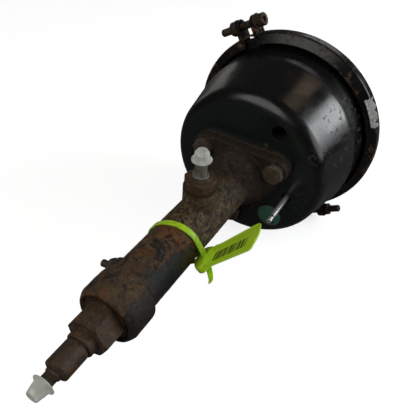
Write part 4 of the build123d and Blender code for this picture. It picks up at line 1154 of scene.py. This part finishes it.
def build_foil():
    """Crumpled remnant of foil on the front lip of the clamp ring."""
    rows, columns, thickness = 11, 23, 0.12
    start_deg, reach_deg, inner, width = 20.5, 17.0, 98.0, 6.0
    ragged, sway_deg, fold_height, crease_height = 1.2, 1.3, 1.30, 0.70
    vertices = []
    for side in (0.0, thickness):
        for i in range(rows):
            for k in range(columns):
                degrees = start_deg + reach_deg * k / (columns - 1)
                edge = 1.0 + ragged * noise.noise(Vector((k * 0.45, 3.3, 0.0)))
                radius = inner + width * i / (rows - 1) * edge
                sway = sway_deg * noise.noise(Vector((i * 0.5, 7.7, 0.0)))
                angle = math.radians(degrees + sway)
                crumple = fold_height * abs(noise.noise(Vector((i * 0.55, k * 0.62, 1.0))))
                crumple += crease_height * abs(noise.noise(Vector((i * 1.3, k * 1.3, 4.0))))
                x = foil_station(radius) + thickness + crumple + side
                vertices.append(around(x, radius, angle) * MM)
    last = rows * columns - 1
    border = [row * columns for row in range(rows - 1)]
    border += [last - columns + 1 + k for k in range(columns - 1)]
    border += [last - row * columns for row in range(rows - 1)]
    border += [columns - 1 - k for k in range(columns - 1)]
    shape = outward(vertices, sheet(rows, columns, border, closed=False))
    new_piece("foil_remnant", shape, ["foil"], "black_paint_clamp", smooth_deg=30.0)


LUMP_SEGMENTS, LUMP_RAGGED, LUMP_LOBE = 28, 0.28, 1.4
LUMP = [(-0.3, 0), (-0.3, 1.0), (0.0, 1.0), (0.45, 0.93), (0.8, 0.72), (0.96, 0.42), (1.0, 0.0)]


def blob(name, centre, normal, size, height, seed, material, slot):
    """Low irregular lump on a surface; size is its radius."""
    place = frame_along(centre, normal)
    shift = Vector((seed * 1.7, seed * 2.9, 0))
    vertices, faces = lathe_mesh(LUMP, LUMP_SEGMENTS, Matrix.Identity(4))
    moved = []
    for v in vertices:
        angle = math.atan2(v.z, v.y)
        way = Vector((math.cos(angle), math.sin(angle), 0))
        stretch = 1 + LUMP_RAGGED * noise.noise(way * LUMP_LOBE + shift)
        moved.append(place @ Vector((v.x * height, v.y * size * stretch, v.z * size * stretch)))
    new_piece(name, outward(moved, faces), [material], slot, smooth_deg=60.0)


CRUST_SEED, CRUST_SPREAD_DEG, CRUST_HALF_WIDTH = 4, 3.2, 6.0
CRUST_RADII, CRUST_SIZES, CRUST_HEIGHTS = (101.8, 103.3), (0.6, 1.7), (0.4, 1.1)


def build_crust():
    """Lumps of rust crust scattered under the clamp ring's upper ear."""
    dice = random.Random(CRUST_SEED)
    for number in range(settings().crust_count):
        angle = math.radians(EAR_DEG + dice.gauss(0.0, CRUST_SPREAD_DEG))
        radius = dice.uniform(*CRUST_RADII)
        x = CLAMP_X + dice.uniform(-CRUST_HALF_WIDTH, CRUST_HALF_WIDTH)
        size, height = dice.uniform(*CRUST_SIZES), dice.uniform(*CRUST_HEIGHTS)
        blob(f"crust_{number}", around(x, radius, angle), around(0, 1, angle), size, height,
             number * 1.3, "disc edge rust", "black_paint_clamp")


def build_marks():
    """Paint dot on the front face, and a dark lump of painted shade for the small hole in the end collar."""
    forward = (1, 0, 0)
    blob("paint_dot", (FRONT_FACE_X, 19.0, 35.0), forward, 2.4, 0.22, 2.0, "olive dot",
         "black_paint")
    # Painted shade: a dark lump stands for the small hole in the collar.
    blob("collar_hole_shade", (355.4, -18.6, 5.6), forward, 1.3, 0.10, 5.0, "painted hole shade",
         "rusty_casting")


# ---- Stage, in metres ----
CAMERA_PLACE = Vector((0.49523, 0.14360, 0.27826))
CAMERA_RIGHT = Vector((-0.50587, 0.86007, 0.06612))
CAMERA_DOWN = Vector((0.54816, 0.37971, -0.74522))
CAMERA_AHEAD = Vector((-0.66605, -0.34074, -0.66354))
CAMERA_LENS, CAMERA_SENSOR, CAMERA_CLIP = 41.106, 36.0, (0.01, 50.0)
AIM = Vector((0.15, 0.0, 0.0))
FLOOR_HALF, FLOOR_HEIGHT, FLOOR_GLOW = 6.0, -0.1045, 0.75
DIM_FLOOR, DIM_WORLD = (0.16, 0.16, 0.16), 0.05


def soft_light(name, direction, distance, size, radiance, colour):
    """Elliptical area light that looks at the object; radiance is its brightness in gloss."""
    data = bpy.data.lights.new(name, "AREA")
    data.shape = "ELLIPSE"
    data.size, data.size_y = size
    data.energy = radiance * math.pi * size[0] * size[1] * math.pi / 4
    data.color = colour
    light = new_object(name, data)
    way = Vector(direction).normalized()
    light.location = AIM + way * distance
    light.rotation_euler = way.to_track_quat("Z", "Y").to_euler()
    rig.stage(light)


def build_lights():
    """Soft lights round the object: direction, distance, size, radiance and colour of each."""
    for light in (
            ("side window", (-0.60, 0.69, 0.43), 1.1, (0.44, 0.47), 4.2, (0.94, 0.98, 1.0)),
            ("window haze", (-0.34, 0.85, 0.34), 1.2, (1.30, 0.75), 1.9, (0.95, 0.98, 1.0)),
            ("warm glow", (-0.60, 0.24, 0.75), 1.2, (0.32, 0.32), 0.9, (1.0, 0.74, 0.54)),
            ("left fill", (-0.52, -0.85, 0.06), 1.3, (0.8, 0.6), 0.42, (1.0, 0.97, 0.90)),
            ("front overhead", (0.68, -0.18, 0.68), 1.5, (1.4, 1.4), 1.65, (1.0, 0.99, 0.97)),
            ("rear overhead", (-0.90, -0.05, 0.42), 1.4, (0.6, 0.35), 1.0, WHITE)):
        soft_light(*light)


def build_floor():
    """Floor that looks white but throws back little light."""
    made = Finish("studio floor")
    seen = made.seen()
    made.give(Base_Color=made.mix(seen, DIM_FLOOR, tuple(settings().floor_colour)),
              Roughness=0.9, Specular_IOR_Level=0.1, Emission_Color=rgba(WHITE),
              Emission_Strength=made.times(seen, FLOOR_GLOW))
    mesh = bpy.data.meshes.new("floor")
    corners = [(-FLOOR_HALF, -FLOOR_HALF), (FLOOR_HALF, -FLOOR_HALF), (FLOOR_HALF, FLOOR_HALF),
               (-FLOOR_HALF, FLOOR_HALF)]
    mesh.from_pydata([(x, y, FLOOR_HEIGHT) for x, y in corners], [], [(0, 1, 2, 3)])
    dress(mesh, "studio floor")
    floor = new_object("floor", mesh)
    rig.stage(floor)


def build_world():
    """World that looks white to the camera and lights the object faintly."""
    world = bpy.data.worlds.new("studio")
    bpy.context.scene.world = world
    world.use_nodes = True
    tree = Tree(world.node_tree)
    strength = tree.span(tree.seen(), 0.0, 1.0, DIM_WORLD, 1.0)
    tree.fill(world.node_tree.nodes["Background"], {"Strength": strength, "Color": rgba(WHITE)})


def build_camera():
    """Camera, and a view transform that leaves the colours as they are."""
    data = bpy.data.cameras.new("camera")
    data.lens, data.sensor_width = CAMERA_LENS, CAMERA_SENSOR
    data.clip_start, data.clip_end = CAMERA_CLIP
    camera = new_object("camera", data)
    turn = Matrix((CAMERA_RIGHT, -CAMERA_DOWN, -CAMERA_AHEAD)).transposed()
    camera.matrix_world = Matrix.Translation(CAMERA_PLACE) @ turn.to_4x4()
    bpy.context.scene.camera = camera
    bpy.context.scene.view_settings.view_transform = "Standard"


# ---- Add-on ----
class BuildStep:
    """Runs its jobs and says so if one can't finish."""

    bl_options = {"REGISTER", "UNDO"}
    jobs = ()

    def execute(self, context):
        try:
            for job in self.jobs:
                job()
        except (KeyError, ValueError, RuntimeError) as problem:
            self.report({"ERROR"}, f"{self.bl_label} could not finish: {problem}")
            raise
        return {"FINISHED"}


class CHAMBER_OT_finishes(BuildStep, bpy.types.Operator):
    """Make every finish and give it to the CAD nodes"""

    bl_idname = "chamber.finishes"
    bl_label = "Make finishes"
    jobs = (make_finishes, finish_frame_nodes)


class CHAMBER_OT_casting(BuildStep, bpy.types.Operator):
    """Build the cylinder's sand cast skin"""

    bl_idname = "chamber.casting"
    bl_label = "Build casting"
    jobs = (build_casting,)


class CHAMBER_OT_threads(BuildStep, bpy.types.Operator):
    """Build the outlet stub, the mounting studs and the clamp screws with their threads"""

    bl_idname = "chamber.threads"
    bl_label = "Build threaded pieces"
    jobs = (build_outlet_stub, build_mounting_studs, build_clamp_bolts)


class CHAMBER_OT_springs(BuildStep, bpy.types.Operator):
    """Build the return spring and the piston spring"""

    bl_idname = "chamber.springs"
    bl_label = "Build springs"
    jobs = (build_springs,)


class CHAMBER_OT_caps(BuildStep, bpy.types.Operator):
    """Build both push-on caps"""

    bl_idname = "chamber.caps"
    bl_label = "Build caps"
    jobs = (build_caps,)


class CHAMBER_OT_seal(BuildStep, bpy.types.Operator):
    """Build the pull-tight seal with its flag, strap and tail"""

    bl_idname = "chamber.seal"
    bl_label = "Build seal"
    jobs = (build_seal,)


class CHAMBER_OT_trim(BuildStep, bpy.types.Operator):
    """Build the round plate, the foil remnant, the marks and the rust crust"""

    bl_idname = "chamber.trim"
    bl_label = "Build small trim"
    jobs = (build_disc, build_foil, build_marks, build_crust)


class CHAMBER_OT_stage(BuildStep, bpy.types.Operator):
    """Set the camera, the lights, the floor and the world"""

    bl_idname = "chamber.stage"
    bl_label = "Set the stage"
    jobs = (build_floor, build_lights, build_world, build_camera)


STEPS = (CHAMBER_OT_finishes, CHAMBER_OT_casting, CHAMBER_OT_threads, CHAMBER_OT_springs,
         CHAMBER_OT_caps, CHAMBER_OT_seal, CHAMBER_OT_trim, CHAMBER_OT_stage)


class CHAMBER_PT_panel(bpy.types.Panel):
    """Settings and build steps of the brake chamber"""

    bl_idname = "CHAMBER_PT_panel"
    bl_label = "Brake Chamber"
    bl_space_type = "VIEW_3D"
    bl_region_type = "UI"
    bl_category = "Brake Chamber"

    def draw(self, context):
        for name in ChamberSettings.__annotations__:
            self.layout.prop(context.scene.brake_chamber, name)
        for step in STEPS:
            self.layout.operator(step.bl_idname)


def register():
    for item in (ChamberSettings, *STEPS, CHAMBER_PT_panel):
        bpy.utils.register_class(item)
    bpy.types.Scene.brake_chamber = PointerProperty(type=ChamberSettings)


def unregister():
    del bpy.types.Scene.brake_chamber
    for item in (CHAMBER_PT_panel, *reversed(STEPS), ChamberSettings):
        bpy.utils.unregister_class(item)


def main():
    register()
    bpy.ops.chamber.finishes()
    bpy.ops.chamber.casting()
    bpy.ops.chamber.threads()
    bpy.ops.chamber.springs()
    bpy.ops.chamber.caps()
    bpy.ops.chamber.seal()
    bpy.ops.chamber.trim()
    bpy.ops.chamber.stage()
    visual_box = [list(corner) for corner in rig.bounds()]
    with open("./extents.json", "w") as file:
        json.dump({"cad": cad_box, "visual": visual_box}, file)


if __name__ == "__main__":
    main()
